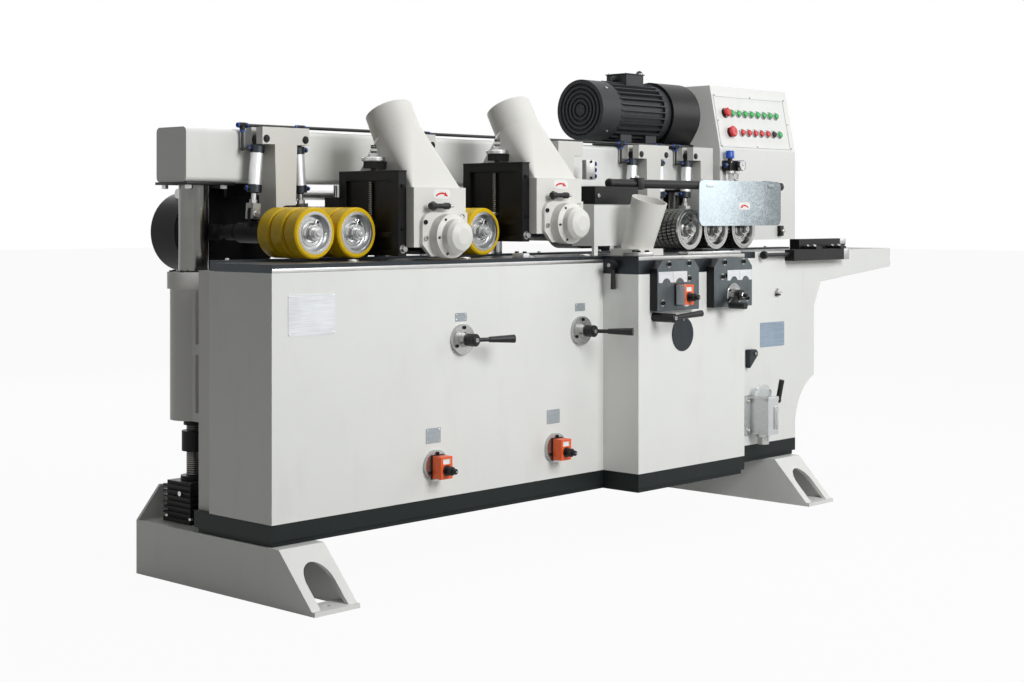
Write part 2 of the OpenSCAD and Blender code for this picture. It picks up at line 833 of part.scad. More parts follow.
// Clamp lever hanging on the left side of the front block's table
side_clamp = [-48, table_z - 28];
clamp_pin_l = 20;
module clamp_lever_3() {
    drop = 74;
    hub_l = 18;
    x1 = block_x - pass_gap;
    color([0.1, 0.1, 0.1]) place() difference() {
        union() {
            bar_x(x1 - hub_l - 6, x1, side_clamp[0], side_clamp[1], pin_r + 6);
            translate([x1 - hub_l / 2, side_clamp[0], side_clamp[1]]) rotate([180, 0, 0])
                cylinder(h = drop, r1 = 6, r2 = 8);
        }
        bar_x(x1 - clamp_pin_l - cut, x1 + cut, side_clamp[0], side_clamp[1], pin_r + run_fit);
    }
}

// Clamp lever under the first adjuster plate, on a long hub
front_clamp = [plate_1[0] + 20, plate_z - 19];
module clamp_lever_4() {
    hub_y = -block_out - pass_gap;
    hub_l = 80;
    hub_r = 14;
    reach = 152;
    color([0.1, 0.1, 0.1]) place() difference() {
        union() {
            bar_y(front_clamp[0], hub_y - hub_l, hub_y, front_clamp[1], hub_r);
            translate([front_clamp[0], hub_y - hub_l + 12, front_clamp[1]]) rotate([0, 87, 0])
                cylinder(h = reach, r1 = 7, r2 = 10);
        }
        bar_y(front_clamp[0], hub_y - clamp_pin_l - cut, hub_y + cut, front_clamp[1], pin_r + run_fit);
    }
}

// Hand crank on the second adjuster plate
module hand_crank() {
    y = collar_y - pass_gap;
    dx = -crank_r * 0.8;
    dz = -crank_r * 0.6;
    color([0.1, 0.1, 0.1]) place() difference() {
        union() {
            bar_y(crank_spot[0], y - 16, y, crank_spot[1], 17);
            through_y(y - 12, y) translate([crank_spot[0], crank_spot[1]]) rotate(atan2(dz, dx))
                translate([0, -9]) square([crank_r, 18]);
            bar_y(crank_spot[0] + dx, y - 12 - crank_grip, y, crank_spot[1] + dz, 11);
        }
        bar_y(crank_spot[0], y - 15, y + cut, crank_spot[1], pin_r + run_fit);
    }
}

// Oil pump on the right cabinet, with its priming lever
pump_x = right_x + 218;
pump_w = 60;
pump_z = plinth_z + 41;
pump_h = 128;
pump_y = -85;
lever_y = pump_y / 2;
lever_z = pump_z + 52;
lever_pin = 6;
module oil_pump() {
    mid = pump_x + pump_w / 2;
    color("silver") place() {
        span(pump_x, pump_x + pump_w, pump_y, 0, pump_z, pump_z + pump_h);
        bar_z(mid, lever_y, pump_z - 35, pump_z, 20);
        bar_z(mid, lever_y, pump_z + pump_h, pump_z + pump_h + 26, 27);
        bar_z(mid, lever_y, pump_z + pump_h + 26, pump_z + pump_h + 38, 20);
        bar_x(pump_x + pump_w, pump_x + pump_w + 14, lever_y, lever_z, lever_pin);
    }
}
module oil_lever() {
    x = pump_x + pump_w + pass_gap;
    grip_r = 9;
    bend_r = grip_r + 1.5;
    arm_at = bend_r + 2;
    color([0.15, 0.15, 0.15]) place() difference() {
        union() {
            bar_x(x, x + 20, lever_y, lever_z, 15);
            translate([x + arm_at, lever_y, lever_z]) rotate([28, 0, 0]) {
                cylinder(h = 76, r = 6);
                translate([0, 0, 70]) {
                    sphere(bend_r);
                    rotate([-16, 0, 0]) cylinder(h = 72, r = grip_r);
                }
            }
        }
        bar_x(x - cut, x + 16, lever_y, lever_z, lever_pin + run_fit);
    }
}

// Side dust hood: a base round the cutter and a leaning funnel
module funnel(grow) {
    translate([side_1_x + 7, 0, table_z + 18]) rotate([funnel_lean, 0, 0])
        translate([0, 0, -grow]) cylinder(h = funnel_l + 2 * grow,
            r1 = funnel_d / 2 - 3 * sign(grow), r2 = funnel_mouth / 2 - 3 * sign(grow));
}
module side_hood() {
    half = side_cutter_d / 2 + 12;
    color("whitesmoke") place() difference() {
        union() {
            span(side_1_x - half, side_1_x + half, -half, half - 10, table_z, table_z + 20);
            bar_z(side_1_x + 7, 0, table_z + 10, table_z + 36, funnel_d / 2 + 2);
            intersection() {
                funnel(0);
                span(side_1_x - 200, side_1_x + 200, -200, 200, table_z + 10, table_z + 400);
            }
        }
        bar_z(side_1_x, 0, table_z - cut, table_z + 18, side_cutter_d / 2 + 5);
        bar_z(side_1_x + 7, 0, table_z + 10, table_z + 36, funnel_d / 2 - 4);
        funnel(2);
    }
}

// Guard box over the front side cutter, standing on two feet
side_guard_x = [1331, 1545];
side_guard_y = [58, 150];
module side_guard() {
    z0 = table_z + 29;
    z1 = table_z + 161;
    wall = 4;
    color("white") place() {
        difference() {
            span(side_guard_x[0], side_guard_x[1], side_guard_y[0], side_guard_y[1], z0, z1);
            span(side_guard_x[0] + wall, side_guard_x[1] - wall, side_guard_y[0] + wall,
                side_guard_y[1] - wall, z0 - cut, z1 - wall);
        }
        for (x = [side_guard_x[0], side_guard_x[1] - 18])
            span(x, x + 18, side_guard_y[0], side_guard_y[0] + 10, table_z, z0);
    }
}

// Guard rail: a tube from the side guard's cover to the console
module guard_rail() {
    z0 = table_z + 161;
    arm_x0 = console_x + 6;
    color([0.08, 0.08, 0.08]) place() {
        span(side_guard_x[0], side_guard_x[1], side_guard_y[0] - 4, side_guard_y[1],
            z0, rail_z - rail_d / 2 + 4);
        bar_x(side_guard_x[0] + 90, arm_x0 + 16, rail_y, rail_z, rail_d / 2);
        span(arm_x0, arm_x0 + 16, rail_y, console_y, rail_z - 10, rail_z + 10);
    }
}

// Roller guard: a sheet that swings up on the rail
flap_x = console_x - 3 - flap_l;
flap_y = rail_y - rail_d / 2 - pass_gap - flap_t;
module guard_flap() {
    sleeve_r = rail_d / 2 + 5;
    color("lightgray") place() difference() {
        union() {
            through_y(flap_y, flap_y + flap_t)
                difference() {
                    round_rect(flap_x, flap_x + flap_l, rail_z + 17 - flap_h, rail_z + 17, 24);
                    translate([flap_x + flap_l / 2, rail_z - 70]) circle(6);
                }
            for (x = [flap_x + 40, flap_x + flap_l - 80]) bar_x(x, x + 40, rail_y, rail_z, sleeve_r);
        }
        bar_x(flap_x - cut, flap_x + flap_l + cut, rail_y, rail_z, rail_d / 2 + run_fit);
    }
}

// Front side guide on the infeed table
guide_in = 65;
guide_band = [20, 60];
bar_from = 120;
bar_to = 429;
bar_nose = 20;
bar_top = table_z + 40;
slide_l = 357;
slide_w = 40;
slide_h = 35;
guide_rod_l = 150;
module infeed_guide() {
    x0 = base_l - guide_in;
    color([0.12, 0.12, 0.12]) place() {
        through_y(guide_band[0], guide_band[1])
            polygon([
                [x0 + bar_from, table_z + pass_gap], [x0 + bar_to - bar_nose, table_z + pass_gap],
                [x0 + bar_to, table_z + bar_nose], [x0 + bar_to, bar_top], [x0 + bar_from, bar_top]
            ]);
        span(x0, x0 + slide_l, -slide_w, -pass_gap, table_z - slide_h, table_z + 4);
        for (x = [x0 + bar_from + 20, x0 + slide_l - 57])
            span(x, x + 36, -slide_w, guide_band[0] + cut, table_z + 3, table_z + 14);
        bar_x(x0 - guide_rod_l, x0 + cut, -slide_w / 2, table_z - 12, 7);
    }
}

// Air service unit on the console: filter, regulator, gauge and bowls
unit_x = console_x + 42;
unit_y = console_y - 24;
unit_z = table_z + 290;
module air_service_unit() {
    color("slategray") place() {
        span(unit_x - 30, unit_x + 42, unit_y - 14, console_y, unit_z, unit_z + 38);
        bar_z(unit_x - 12, unit_y, unit_z - 44, unit_z, 14);
        bar_z(unit_x + 24, unit_y, unit_z - 30, unit_z, 11);
        bar_z(unit_x - 12, unit_y, unit_z + 38, unit_z + 46, 9);
        bar_z(unit_x - 12, unit_y, unit_z + 46, unit_z + 74, 15);
        bar_y(unit_x + 22, unit_y - 34, unit_y - 13, unit_z + 20, 19);
        span(unit_x + 14, unit_x + 34, unit_y - 10, console_y, coil_low - 22, coil_low);
    }
}

// Red air hose, coiled between the service unit and a bulkhead fitting
hose_r = 2.25;
coil_r = 18;
coil_turns = 7;
coil_pitch = 8.5;
coil_lead = 2 * hose_r;
coil_low = unit_z - 30 - coil_turns * coil_pitch - 2 * coil_lead - 2 * coil_r;
turn_rings = 8;
coil_steps = coil_turns * turn_rings;
function coil_point(t) = [
    coil_r * cos(360 * t), coil_r * sin(360 * t), coil_r + coil_lead + t * coil_pitch
];
// The ends swing from the coil into straight leads on its axis
function lead_in(t) = [
    coil_r * sin(90 * t), -coil_r * 0.15 * sin(180 * t), coil_lead + coil_r * (1 - cos(90 * t)) * 0.9
];
coil_path = concat(
    [[0, 0, 0], [0, 0, coil_lead]],
    [for (i = [1 : 4]) lead_in(i / 5)],
    [for (i = [0 : coil_steps]) coil_point(i / turn_rings)],
    [for (i = [1 : 4])
        [lead_in((5 - i) / 5)[0], -lead_in((5 - i) / 5)[1],
            2 * coil_r + 2 * coil_lead + coil_turns * coil_pitch - lead_in((5 - i) / 5)[2]]],
    [[0, 0, 2 * coil_r + coil_lead + coil_turns * coil_pitch],
        [0, 0, 2 * coil_r + 2 * coil_lead + coil_turns * coil_pitch]]
);
function unit(v) = v / norm(v);
function heading(path, i) = unit(path[min(i + 1, len(path) - 1)] - path[max(i - 1, 0)]);
function across(d) = unit(cross(d, abs(d[2]) > 0.8 ? [0, 1, 0] : [0, 0, 1]));
// Carries the side direction along the path so that the tube never twists sharply
function sides(path, i, last) = i == len(path) ? [] :
    let (d = heading(path, i), u = unit(last - d * (last * d)))
    concat([u], sides(path, i + 1, u));
module tube(path, r, count) {
    u = sides(path, 0, across(heading(path, 0)));
    n = len(path);
    points = [for (i = [0 : n - 1], k = [0 : count - 1])
        let (d = heading(path, i), v = cross(d, u[i]), a = 360 * k / count)
        path[i] + r * (cos(a) * u[i] + sin(a) * v)];
    walls = [for (i = [0 : n - 2], k = [0 : count - 1], half = [0, 1])
        let (a = i * count + k, b = i * count + (k + 1) % count)
        half == 0 ? [a, a + count, b] : [b, a + count, b + count]];
    ends = concat(
        [for (k = [1 : count - 2]) [0, k, k + 1]],
        [for (k = [1 : count - 2]) [(n - 1) * count, (n - 1) * count + k + 1, (n - 1) * count + k]]
    );
    polyhedron(points = points, faces = concat(walls, ends));
}
coil_gaps = [for (i = [0 : len(coil_path) - 1], j = [i + 6 : 1 : len(coil_path) - 1])
    norm(coil_path[i] - coil_path[j]) - 2 * hose_r];
module air_hose_coil() {
    echo(str("least gap of the coiled hose to itself, mm: ", min(coil_gaps)));
    color("red") place() translate([unit_x + 24, unit_y, coil_low]) tube(coil_path, hose_r, 6);
}

// Motors of the side and bottom spindles
module spindle_motors() {
    floor_z = plinth_z + cab_wall;
    neck_z = plinth_z + 353;
    quill_z = table_z - 130;
    color([0.25, 0.27, 0.28]) place() {
        for (spot = [[side_1_x, 0], [side_2_x, side_2_y]]) difference() {
            union() {
                bar_z(spot[0], spot[1], floor_z, neck_z, motor_d / 2);
                bar_z(spot[0], spot[1], neck_z - cut, quill_z, spindle_d / 2 + 22);
            }
            bar_z(spot[0], spot[1], spindle_root - cut, quill_z + cut, spindle_d / 2 + run_fit);
        }
        difference() {
            bar_y(bottom_x, bed_back, bed_back + 230, bottom_z, motor_d / 2);
            bar_y(bottom_x, bed_back - cut, bed_back + 90, bottom_z, spindle_d / 2 + run_fit);
        }
    }
}

// Cutter block with four knives, turning about Z from z0 up
module cutter(z0, z1, d) {
    body_r = d / 2 - knife_h;
    difference() {
        translate([0, 0, z0]) cylinder(h = z1 - z0, r = body_r);
        for (a = [0 : 90 : 270]) rotate(a)
            translate([body_r - 8, 2, z0 - cut]) cube([20, 12, z1 - z0 + 2 * cut]);
    }
    for (a = [0 : 90 : 270]) rotate(a)
        translate([body_r - 14, -2, z0]) cube([14 + knife_h, 4, z1 - z0]);
}
quill_root = 300;
spindle_root = plinth_z + quill_root;
side_1_reach = [-72, 14];
side_2_reach = [3, 83];
module side_spindle(x, y, reach) {
    top = table_z + reach[1];
    color("silver") place() translate([x, y, 0]) {
        translate([0, 0, spindle_root]) cylinder(h = top - spindle_root, r = spindle_d / 2);
        cutter(table_z + reach[0], top, side_cutter_d);
    }
}
module side_spindle_1() {
    side_spindle(side_1_x, 0, side_1_reach);
}
module side_spindle_2() {
    side_spindle(side_2_x, side_2_y, side_2_reach);
}
cutter_y = [slot_y + 6, table_d - 8];
spindle_tail = 84;
module bottom_spindle() {
    color("silver") place() translate([bottom_x, 0, bottom_z]) rotate([-90, 0, 0]) {
        translate([0, 0, cutter_y[0]]) cylinder(h = bed_back + spindle_tail - cutter_y[0], r = spindle_d / 2);
        cutter(cutter_y[0], cutter_y[1], cutter_d);
    }
}

// Hollow feed beam with bosses round the guide posts
module feed_beam() {
    color("whitesmoke") place() difference() {
        through_x(beam_x, beam_end) round_rect(beam_y, beam_back, beam_z, beam_top, beam_r);
        difference() {
            span(beam_x + beam_wall, beam_end - beam_wall, beam_y + beam_wall, beam_back - beam_wall,
                beam_z + beam_wall, beam_top - beam_wall);
            for (x = posts) bar_z(x, post_y, beam_z, beam_top, post_d / 2 + 14);
        }
        for (x = posts) bar_z(x, post_y, beam_z - cut, beam_top - beam_wall, post_d / 2 + run_fit);
    }
}
module guide_posts() {
    color("silver") place() for (x = posts)
        bar_z(x, post_y, post_low, beam_top - beam_wall, post_d / 2);
}
post_low = sleeve_z + 8;

// Lifting screws under the posts, rising through the gearbox and the foot
screw_low = 20;
module lift_screws() {
    color("dimgray") place() for (x = posts) {
        bar_z(x, post_y, screw_low, post_low, screw_d / 2);
        bar_z(x, post_y, post_low - 96, post_low - 40, screw_d / 2 + 13);
        bar_z(x, post_y, post_low - 24, post_low, screw_d / 2 + 8);
    }
}

// Cast brackets on the beam: a head for the cylinders and a stem with the arm pivot
module bracket(x, left, right, pinned) {
    slot_half_y = 11;
    head_low = beam_top + 4 - head_h;
    difference() {
        union() {
            through_y(bracket_y, beam_y) {
                translate([x - (left ? head_half : stem_half), head_low])
                    square([(left ? head_half : stem_half) + (right ? head_half : stem_toe), head_h]);
                polygon([
                    [x - stem_half, head_low + cut], [x - stem_toe, pivot_z],
                    [x + stem_toe, pivot_z], [x + stem_toe + (right ? 5.5 : 0), head_low + cut]
                ]);
                translate([x, pivot_z]) circle(stem_toe);
            }
            if (pinned) bar_y(x, arm_y - 2, beam_y, pivot_z, pivot_r);
        }
        if (pinned) for (side = [left ? -1 : 0, right ? 1 : 0]) if (side != 0) {
            translate([x + side * 68, 0, 0])
                span(-18, 18, cyl_y - slot_half_y, cyl_y + slot_half_y, head_low - cut, beam_top + 5);
            bar_y(x + side * cyl_x, bracket_y - cut, beam_y + cut, cyl_z, eye_pin_r + run_fit);
        }
    }
}
module roller_brackets() {
    color("whitesmoke") place() {
        bracket(stem_a, true, true, true);
        bracket(stem_b, false, true, true);
        bracket(stem_c, false, true, false);
        bracket(stem_e, true, true, true);
        bracket(stem_d, true, false, true);
    }
}

// Local frame of a cylinder: Z runs down its axis from the top pin
module on_cylinder(i) {
    side = rollers[i][1];
    translate([rollers[i][0] + side * cyl_x, cyl_y, cyl_z]) rotate([0, 180 - side * cyl_lean, 0]) children();
}
module air_cylinder() {
    eye_half = 10;
    rod_r = rod_d / 2;
    difference() {
        union() {
            rotate([90, 0, 0]) cylinder(h = 2 * eye_half, r = 13, center = true);
            translate([-9, -eye_half, 0]) cube([18, 2 * eye_half, cap_start + cut]);
            translate([0, 0, cap_start]) cylinder(h = cap_l, r = cyl_d / 2 + 2);
            translate([0, 0, cap_start + cap_l]) cylinder(h = cyl_l, r = cyl_d / 2);
            translate([0, 0, barrel_end]) cylinder(h = cap_l, r = cyl_d / 2 + 2);
            rotate([90, 0, 0]) cylinder(h = bracket_t - 12, r = eye_pin_r, center = true);
        }
        translate([0, 0, cap_start + cap_l]) cylinder(h = cyl_l + cap_l + cut, r = rod_r + run_fit);
    }
}
module air_cylinders() {
    color("silver") place() for (i = [0 : len(rollers) - 1]) on_cylinder(i) air_cylinder();
}

// Cylinder rods with a fork over the arm's lug
lug_t = 12;
module cylinder_rod() {
    fork_start = cyl_reach - 32;
    fork_end = cyl_reach + 13;
    fork_half = 16;
    slot_half_y = lug_t / 2 + 1;
    rod_start = cap_start + cap_l + 35;
    translate([0, 0, rod_start]) cylinder(h = fork_start + cut - rod_start, r = rod_d / 2);
    difference() {
        translate([-13, -fork_half, fork_start]) cube([26, 2 * fork_half, fork_end - fork_start]);
        translate([-14, -slot_half_y, fork_start + 14])
            cube([28, 2 * slot_half_y, fork_end - fork_start]);
        translate([0, 0, cyl_reach]) rotate([90, 0, 0])
            cylinder(h = 40, r = eye_pin_r + loose_fit, center = true);
    }
}
module cylinder_rods(side) {
    color("silver") place() for (i = [0 : len(rollers) - 1])
        if (rollers[i][1] == side) on_cylinder(i) cylinder_rod();
}
module cylinder_rods_left() {
    cylinder_rods(-1);
}
module cylinder_rods_right() {
    cylinder_rods(1);
}

// Swing arm: an eye on the pivot, a web, the axle tube and the cylinder lug
module roller_arm(i) {
    x = rollers[i][0];
    side = rollers[i][1];
    y0 = side < 0 ? arm_y : arm_y + arm_t + 2;
    reach = norm([arm_x, arm_drop]);
    color([0.13, 0.13, 0.14]) place() translate([x, 0, 0]) mirror([side < 0 ? 1 : 0, 0, 0]) difference() {
        union() {
            bar_y(0, y0, y0 + arm_t, pivot_z, pivot_r + 14);
            through_y(y0, y0 + arm_t) translate([0, pivot_z]) rotate(-atan2(arm_drop, arm_x))
                translate([0, -18]) square([reach, 36]);
            bar_y(arm_x, arm_y, tube_back, axle_z, axle_d / 2 + 12);
            through_y(cyl_y - lug_t / 2, cyl_y + lug_t / 2) {
                polygon([
                    [arm_x - 4, axle_z], [arm_x + 26, axle_z + 4],
                    [eye_x + 13, pivot_z], [eye_x - 13, pivot_z]
                ]);
                translate([eye_x, pivot_z]) circle(13);
            }
            bar_y(eye_x, cyl_y - 18, cyl_y + 18, pivot_z, eye_pin_r);
        }
        bar_y(0, y0 - cut, y0 + arm_t + cut, pivot_z, pivot_r + run_fit);
        bar_y(arm_x, arm_y - cut, tube_back + cut, axle_z, axle_d / 2 + run_fit);
    }
}

// Feed roller on its axle: rubber tyres on a dished hub, or toothed steel rings
bond = 0.05;
joint_r = 23;
link_r = 14;
lip_w = 7;
module roller_core(rim_r, lip_r) {
    axle_r = axle_d / 2;
    dish_y = roller_y + 18;
    polygon([
        [0, roller_y - 14], [15, roller_y - 14], [15, dish_y], [rim_r - 15, dish_y],
        [rim_r - 8, roller_y], [lip_r, roller_y], [lip_r, roller_y + lip_w],
        [rim_r, roller_y + lip_w + cut], [rim_r, roller_back],
        [axle_r + 8, roller_back], [axle_r + 8, arm_y - pass_gap], [axle_r, arm_y - pass_gap],
        [axle_r, tube_back + 12], [joint_r, tube_back + 18], [joint_r, tube_back + 58],
        [link_r, tube_back + 64], [link_r, axle_back - 40], [joint_r, axle_back - 34],
        [joint_r, axle_back], [0, axle_back]
    ]);
}
module tyre(y0) {
    r0 = roller_d / 2 - tyre_t + bond;
    r1 = roller_d / 2;
    polygon([
        [r0, y0], [r1 - 4, y0], [r1, y0 + 4], [r1, y0 + tyre_w - 4], [r1 - 4, y0 + tyre_w], [r0, y0 + tyre_w]
    ]);
}
module toothed_ring() {
    tip_r = roller_d / 2;
    polygon([for (i = [0 : 2 * tooth_count - 1])
        let (a = 180 * i / tooth_count, r = i % 2 == 0 ? tip_r : tip_r - tooth_h)
        [r * cos(a), r * sin(a)]]);
}
module feed_roller(i) {
    x = axle_x(i);
    toothed = rollers[i][2];
    ring_gap = 5;
    ring_w = (roller_w - lip_w) / tooth_rings - ring_gap;
    root_r = roller_d / 2 - tooth_h - 3;
    hub_r = roller_d / 2 - tyre_t;
    color("silver") place() {
        turned_y(x, axle_z) roller_core(toothed ? root_r : hub_r, toothed ? roller_d / 2 - cut : hub_r);
        if (toothed) for (k = [0 : tooth_rings - 1])
            translate([x, roller_back - (k + 1) * ring_w - k * ring_gap, axle_z]) rotate([-90, 0, 0])
                difference() {
                    linear_extrude(ring_w) rotate(k * 90 / tooth_count) toothed_ring();
                    translate([0, 0, -cut]) cylinder(h = ring_w + 2 * cut, r = roller_d / 2 - tooth_h - 8);
                }
    }
    if (!toothed) color("gold") place() for (k = [0 : 2])
        turned_y(x, axle_z) tyre(roller_y + k * (tyre_w + tyre_gap));
}

// Gear reducers behind the beam, each with a worm tube round the feed shaft
module reducer(ends, r) {
    tube_r = shaft_d / 2 + 23;
    mid = (ends[0] + ends[1]) / 2;
    half = 45;
    difference() {
        union() {
            for (x = ends) {
                bar_y(x, reducer_y, reducer_y + reducer_d, axle_z, r);
                bar_y(x, reducer_y - 8, reducer_y + 1, axle_z, 34);
                bar_y(x, reducer_y + reducer_d - 1, reducer_y + reducer_d + 8, axle_z, r * 0.6);
            }
            span(ends[0] - 1, ends[1] + 1, reducer_y, reducer_y + reducer_d, axle_z - r, axle_z + r);
            span(mid - half, mid + half, shaft_y - 34, shaft_y + 34, axle_z + r / 2, shaft_z);
            bar_x(mid - half - 20, mid + half + 20, shaft_y, shaft_z, tube_r);
            span(mid - half, mid + half, beam_back, beam_back + 12, beam_z - 40, beam_top - 30);
            span(mid - half, mid + half, beam_back, shaft_y - 10, shaft_z + 16, shaft_z + tube_r - 3);
        }
        bar_x(ends[0] - r - 1, ends[1] + r + 1, shaft_y, shaft_z, shaft_d / 2 + run_fit);
    }
}
module gear_reducers() {
    color([0.1, 0.1, 0.1]) place() {
        reducer([axle_x(0), axle_x(1)], reducer_r);
        reducer([axle_x(2), axle_x(2)], small_r);
        reducer([axle_x(3), axle_x(4)], small_r);
    }
}

// Feed shaft through the reducers, with two couplings
module feed_shaft() {
    color("dimgray") place() {
        bar_x(axle_x(0) - 60, guard_x + 40, shaft_y, shaft_z, shaft_d / 2);
        for (x = [(stem_a + stem_b) / 2, (stem_b + stem_e) / 2])
            bar_x(x - 40, x + 40, shaft_y, shaft_z, shaft_d / 2 + 11);
    }
}

// Ribbed feed motor with fan cowl, terminal box and lifting eye
module feed_motor() {
    r = drive_motor_d / 2;
    cowl_l = 102;
    body_x = drive_motor_x + cowl_l;
    box_x = body_x + 96;
    top = drive_z + r;
    color([0.2, 0.21, 0.22]) place() {
        difference() {
            bar_x(drive_motor_x, body_x - 2, post_y, drive_z, r - 2);
            for (k = [0 : 4]) difference() {
                bar_x(drive_motor_x - cut, drive_motor_x + 6, post_y, drive_z, r - 16 - k * 16);
                bar_x(drive_motor_x - 2 * cut, drive_motor_x + 7, post_y, drive_z, r - 24 - k * 16);
            }
            bar_x(body_x - 12, body_x, post_y, drive_z, r - 8);
        }
        translate([body_x - 12, post_y, drive_z]) rotate([90, 0, 90]) linear_extrude(30) circle(r - 9);
        translate([body_x, post_y, drive_z]) rotate([90, 0, 90])
            linear_extrude(drive_motor_l - cowl_l - 26) {
                circle(r - 14);
                for (k = [0 : rib_count - 1]) rotate(360 * k / rib_count)
                    translate([r - 20, -2]) square([20, 4]);
            }
        bar_x(guard_x - 34, guard_x, post_y, drive_z, r - 4);
        span(box_x, box_x + 96, post_y - 46, post_y + 46, top - 24, top + 26);
        translate([box_x + 130, post_y, top + 28]) rotate([90, 0, 0])
            rotate_extrude() translate([15, 0]) circle(5);
        bar_z(box_x + 130, post_y, top - 14, top + 14, 7);
        for (x = [body_x + 40, guard_x - 100])
            span(x, x + 60, post_y - 66, post_y + 66, beam_top, drive_z - r + 32);
    }
}

// Belt guard from the motor down behind the beam to the feed shaft
module belt_guard() {
    high = [post_y, drive_z];
    low = [guard_low_y, shaft_z - 50];
    r0 = drive_motor_d / 2 + 8;
    r1 = guard_low_r;
    line = low - high;
    base = atan2(line[1], line[0]);
    off = acos((r0 - r1) / norm(line));
    x0 = guard_x + pass_gap;
    color([0.1, 0.1, 0.1]) place() difference() {
        through_x(x0, x0 + guard_l) {
            translate(high) circle(r0);
            translate(low) circle(r1);
            polygon([for (end = [[high, r0, off], [high, r0, -off], [low, r1, -off], [low, r1, off]])
                end[0] + end[1] * [cos(base + end[2]), sin(base + end[2])]]);
        }
        span(x0 - cut, x0 + guard_l + cut, 0, beam_back + pass_gap, 0, beam_top + pass_gap);
        bar_x(x0 - cut, x0 + 80, shaft_y, shaft_z, shaft_d / 2 + 4);
        for (k = [0 : 5])
            span(x0 + 20 + k * 22, x0 + 30 + k * 22, post_y - 20, post_y + 120,
                drive_z + r0 - 5, drive_z + r0 + 5);
    }
}

// Air lines along the beam, with a branch to each cylinder's top cap
line_r = 5;
line_y = beam_y - 12;
line_z = beam_top + 4 + line_r + pass_gap;
module air_lines() {
    branch_r = 4;
    branch_drop = cap_start + cap_l / 2;
    color([0.05, 0.05, 0.05]) place() {
        bar_x(axle_x(0) - 29, axle_x(5) + 60, line_y, line_z, line_r);
        for (i = [0 : len(rollers) - 1]) {
            side = rollers[i][1];
            x = rollers[i][0] + side * (head_half + 20);
            cap_x = rollers[i][0] + side * (cyl_x + branch_drop * tan(cyl_lean) + cyl_d / 2 + 3);
            z = cyl_z - branch_drop;
            bar_z(x, line_y, z, line_z, branch_r);
            bar_y(x, cyl_y, line_y, z, branch_r);
            bar_x(min(x, cap_x), max(x, cap_x), cyl_y, z, branch_r);
            translate([x, line_y, z]) sphere(branch_r + 2);
            translate([x, cyl_y, z]) sphere(branch_r + 2);
        }
    }
}

// Top head: cutter hood with a lofted dust duct, bearing housing, guide carriage and motor
module at_spigot(x, z) {
    translate([x + (hood_right - hood_left) / 2, hood_y + spigot_in, z + spigot_up])
        rotate([-spigot_lean, 0, 0]) children();
}
module duct(x, z, wall) {
    root_z = z + hood_h - hood_drop;
    hull() {
        span(x - hood_left + 6 + wall, x + hood_right - 6 - wall, hood_y + 10 + wall,
            carriage_y - 6 - wall, root_z - 16, root_z - 8 + 0.5 * wall);
        at_spigot(x, z) cylinder(h = 2, r = spigot_d / 2 + 1.5 - wall, $fn = 56);
    }
}
module bearing_profile() {
    face = hood_y + 1;
    nose = hood_y - 88;
    polygon([
        [0, face], [bearing_r, face], [bearing_r, nose + 46],
        [48, nose + 40], [48, nose + 20], [40, nose + 7], [22, nose], [0, nose]
    ]);
}
bearing_r = 62;
plate_half = 88;
plate_low = 57;
plate_top = 66;
plate_corner = 34;
plate_arc = [for (a = [90 : 15 : 180]) [
    plate_corner * (1 + cos(a)) - plate_half, plate_top - plate_corner * (1 - sin(a))
]];
module bearing_plate(x, z) {
    through_y(hood_y - 12, hood_y + 1) translate([x, z])
        polygon(concat([
            [-plate_half, plate_corner - plate_low], [plate_corner - plate_half, -plate_low],
            [plate_half - plate_corner, -plate_low], [plate_half, plate_corner - plate_low],
            [plate_half, plate_top]
        ], plate_arc));
}
module top_hood(i) {
    x = heads[i][0];
    z = heads[i][1];
    x0 = x - hood_left;
    x1 = x + hood_right;
    top = z + hood_h - hood_drop;
    rod_x = x0 - shoe_t / 2;
    bore_r = spindle_d / 2 + run_fit;
    color("whitesmoke") place() difference() {
        union() {
            span(x0, x1, hood_y, carriage_y, z - hood_drop, top);
            duct(x, z, 0);
            at_spigot(x, z) cylinder(h = spigot_l, r = spigot_d / 2);
            turned_y(x, z) bearing_profile();
            bearing_plate(x, z);
            span(x - carriage_half, x + carriage_half, carriage_y, carriage_back, z - 40, z + 110);
            bar_y(x, carriage_back - cut, carriage_back + 214, z, head_motor_d / 2);
            bar_y(x, carriage_back + 213, carriage_back + 222, z, head_motor_d / 2 - 14);
            span(rod_x - 20, x0 + 21, hood_y + 130, hood_y + 170, z + disc_up - 20, z + disc_up);
        }
        span(x0 + hood_wall, x1 - hood_wall, hood_y + hood_wall, carriage_y - hood_wall,
            z - hood_drop - cut, top - 30);
        duct(x, z, hood_wall);
        span(x0 + 22, x1 - 22, hood_y + 40, carriage_y - 30, top - 32, top - 10);
        at_spigot(x, z) translate([0, 0, -4]) cylinder(h = spigot_l + 10, r = spigot_d / 2 - hood_wall + 4);
        bar_y(x, hood_y - 68, carriage_back + 60, z, bore_r);
        for (side = [-1, 1])
            bar_z(x + side * guide_half, guide_y, z - 41, z + 111, guide_d / 2 + run_fit);
        bar_z(rod_x, hood_y + 150, z + disc_up - 21, z + disc_up + cut, shoe_rod_r + pass_gap);
    }
}
shoe_rod_r = 8;

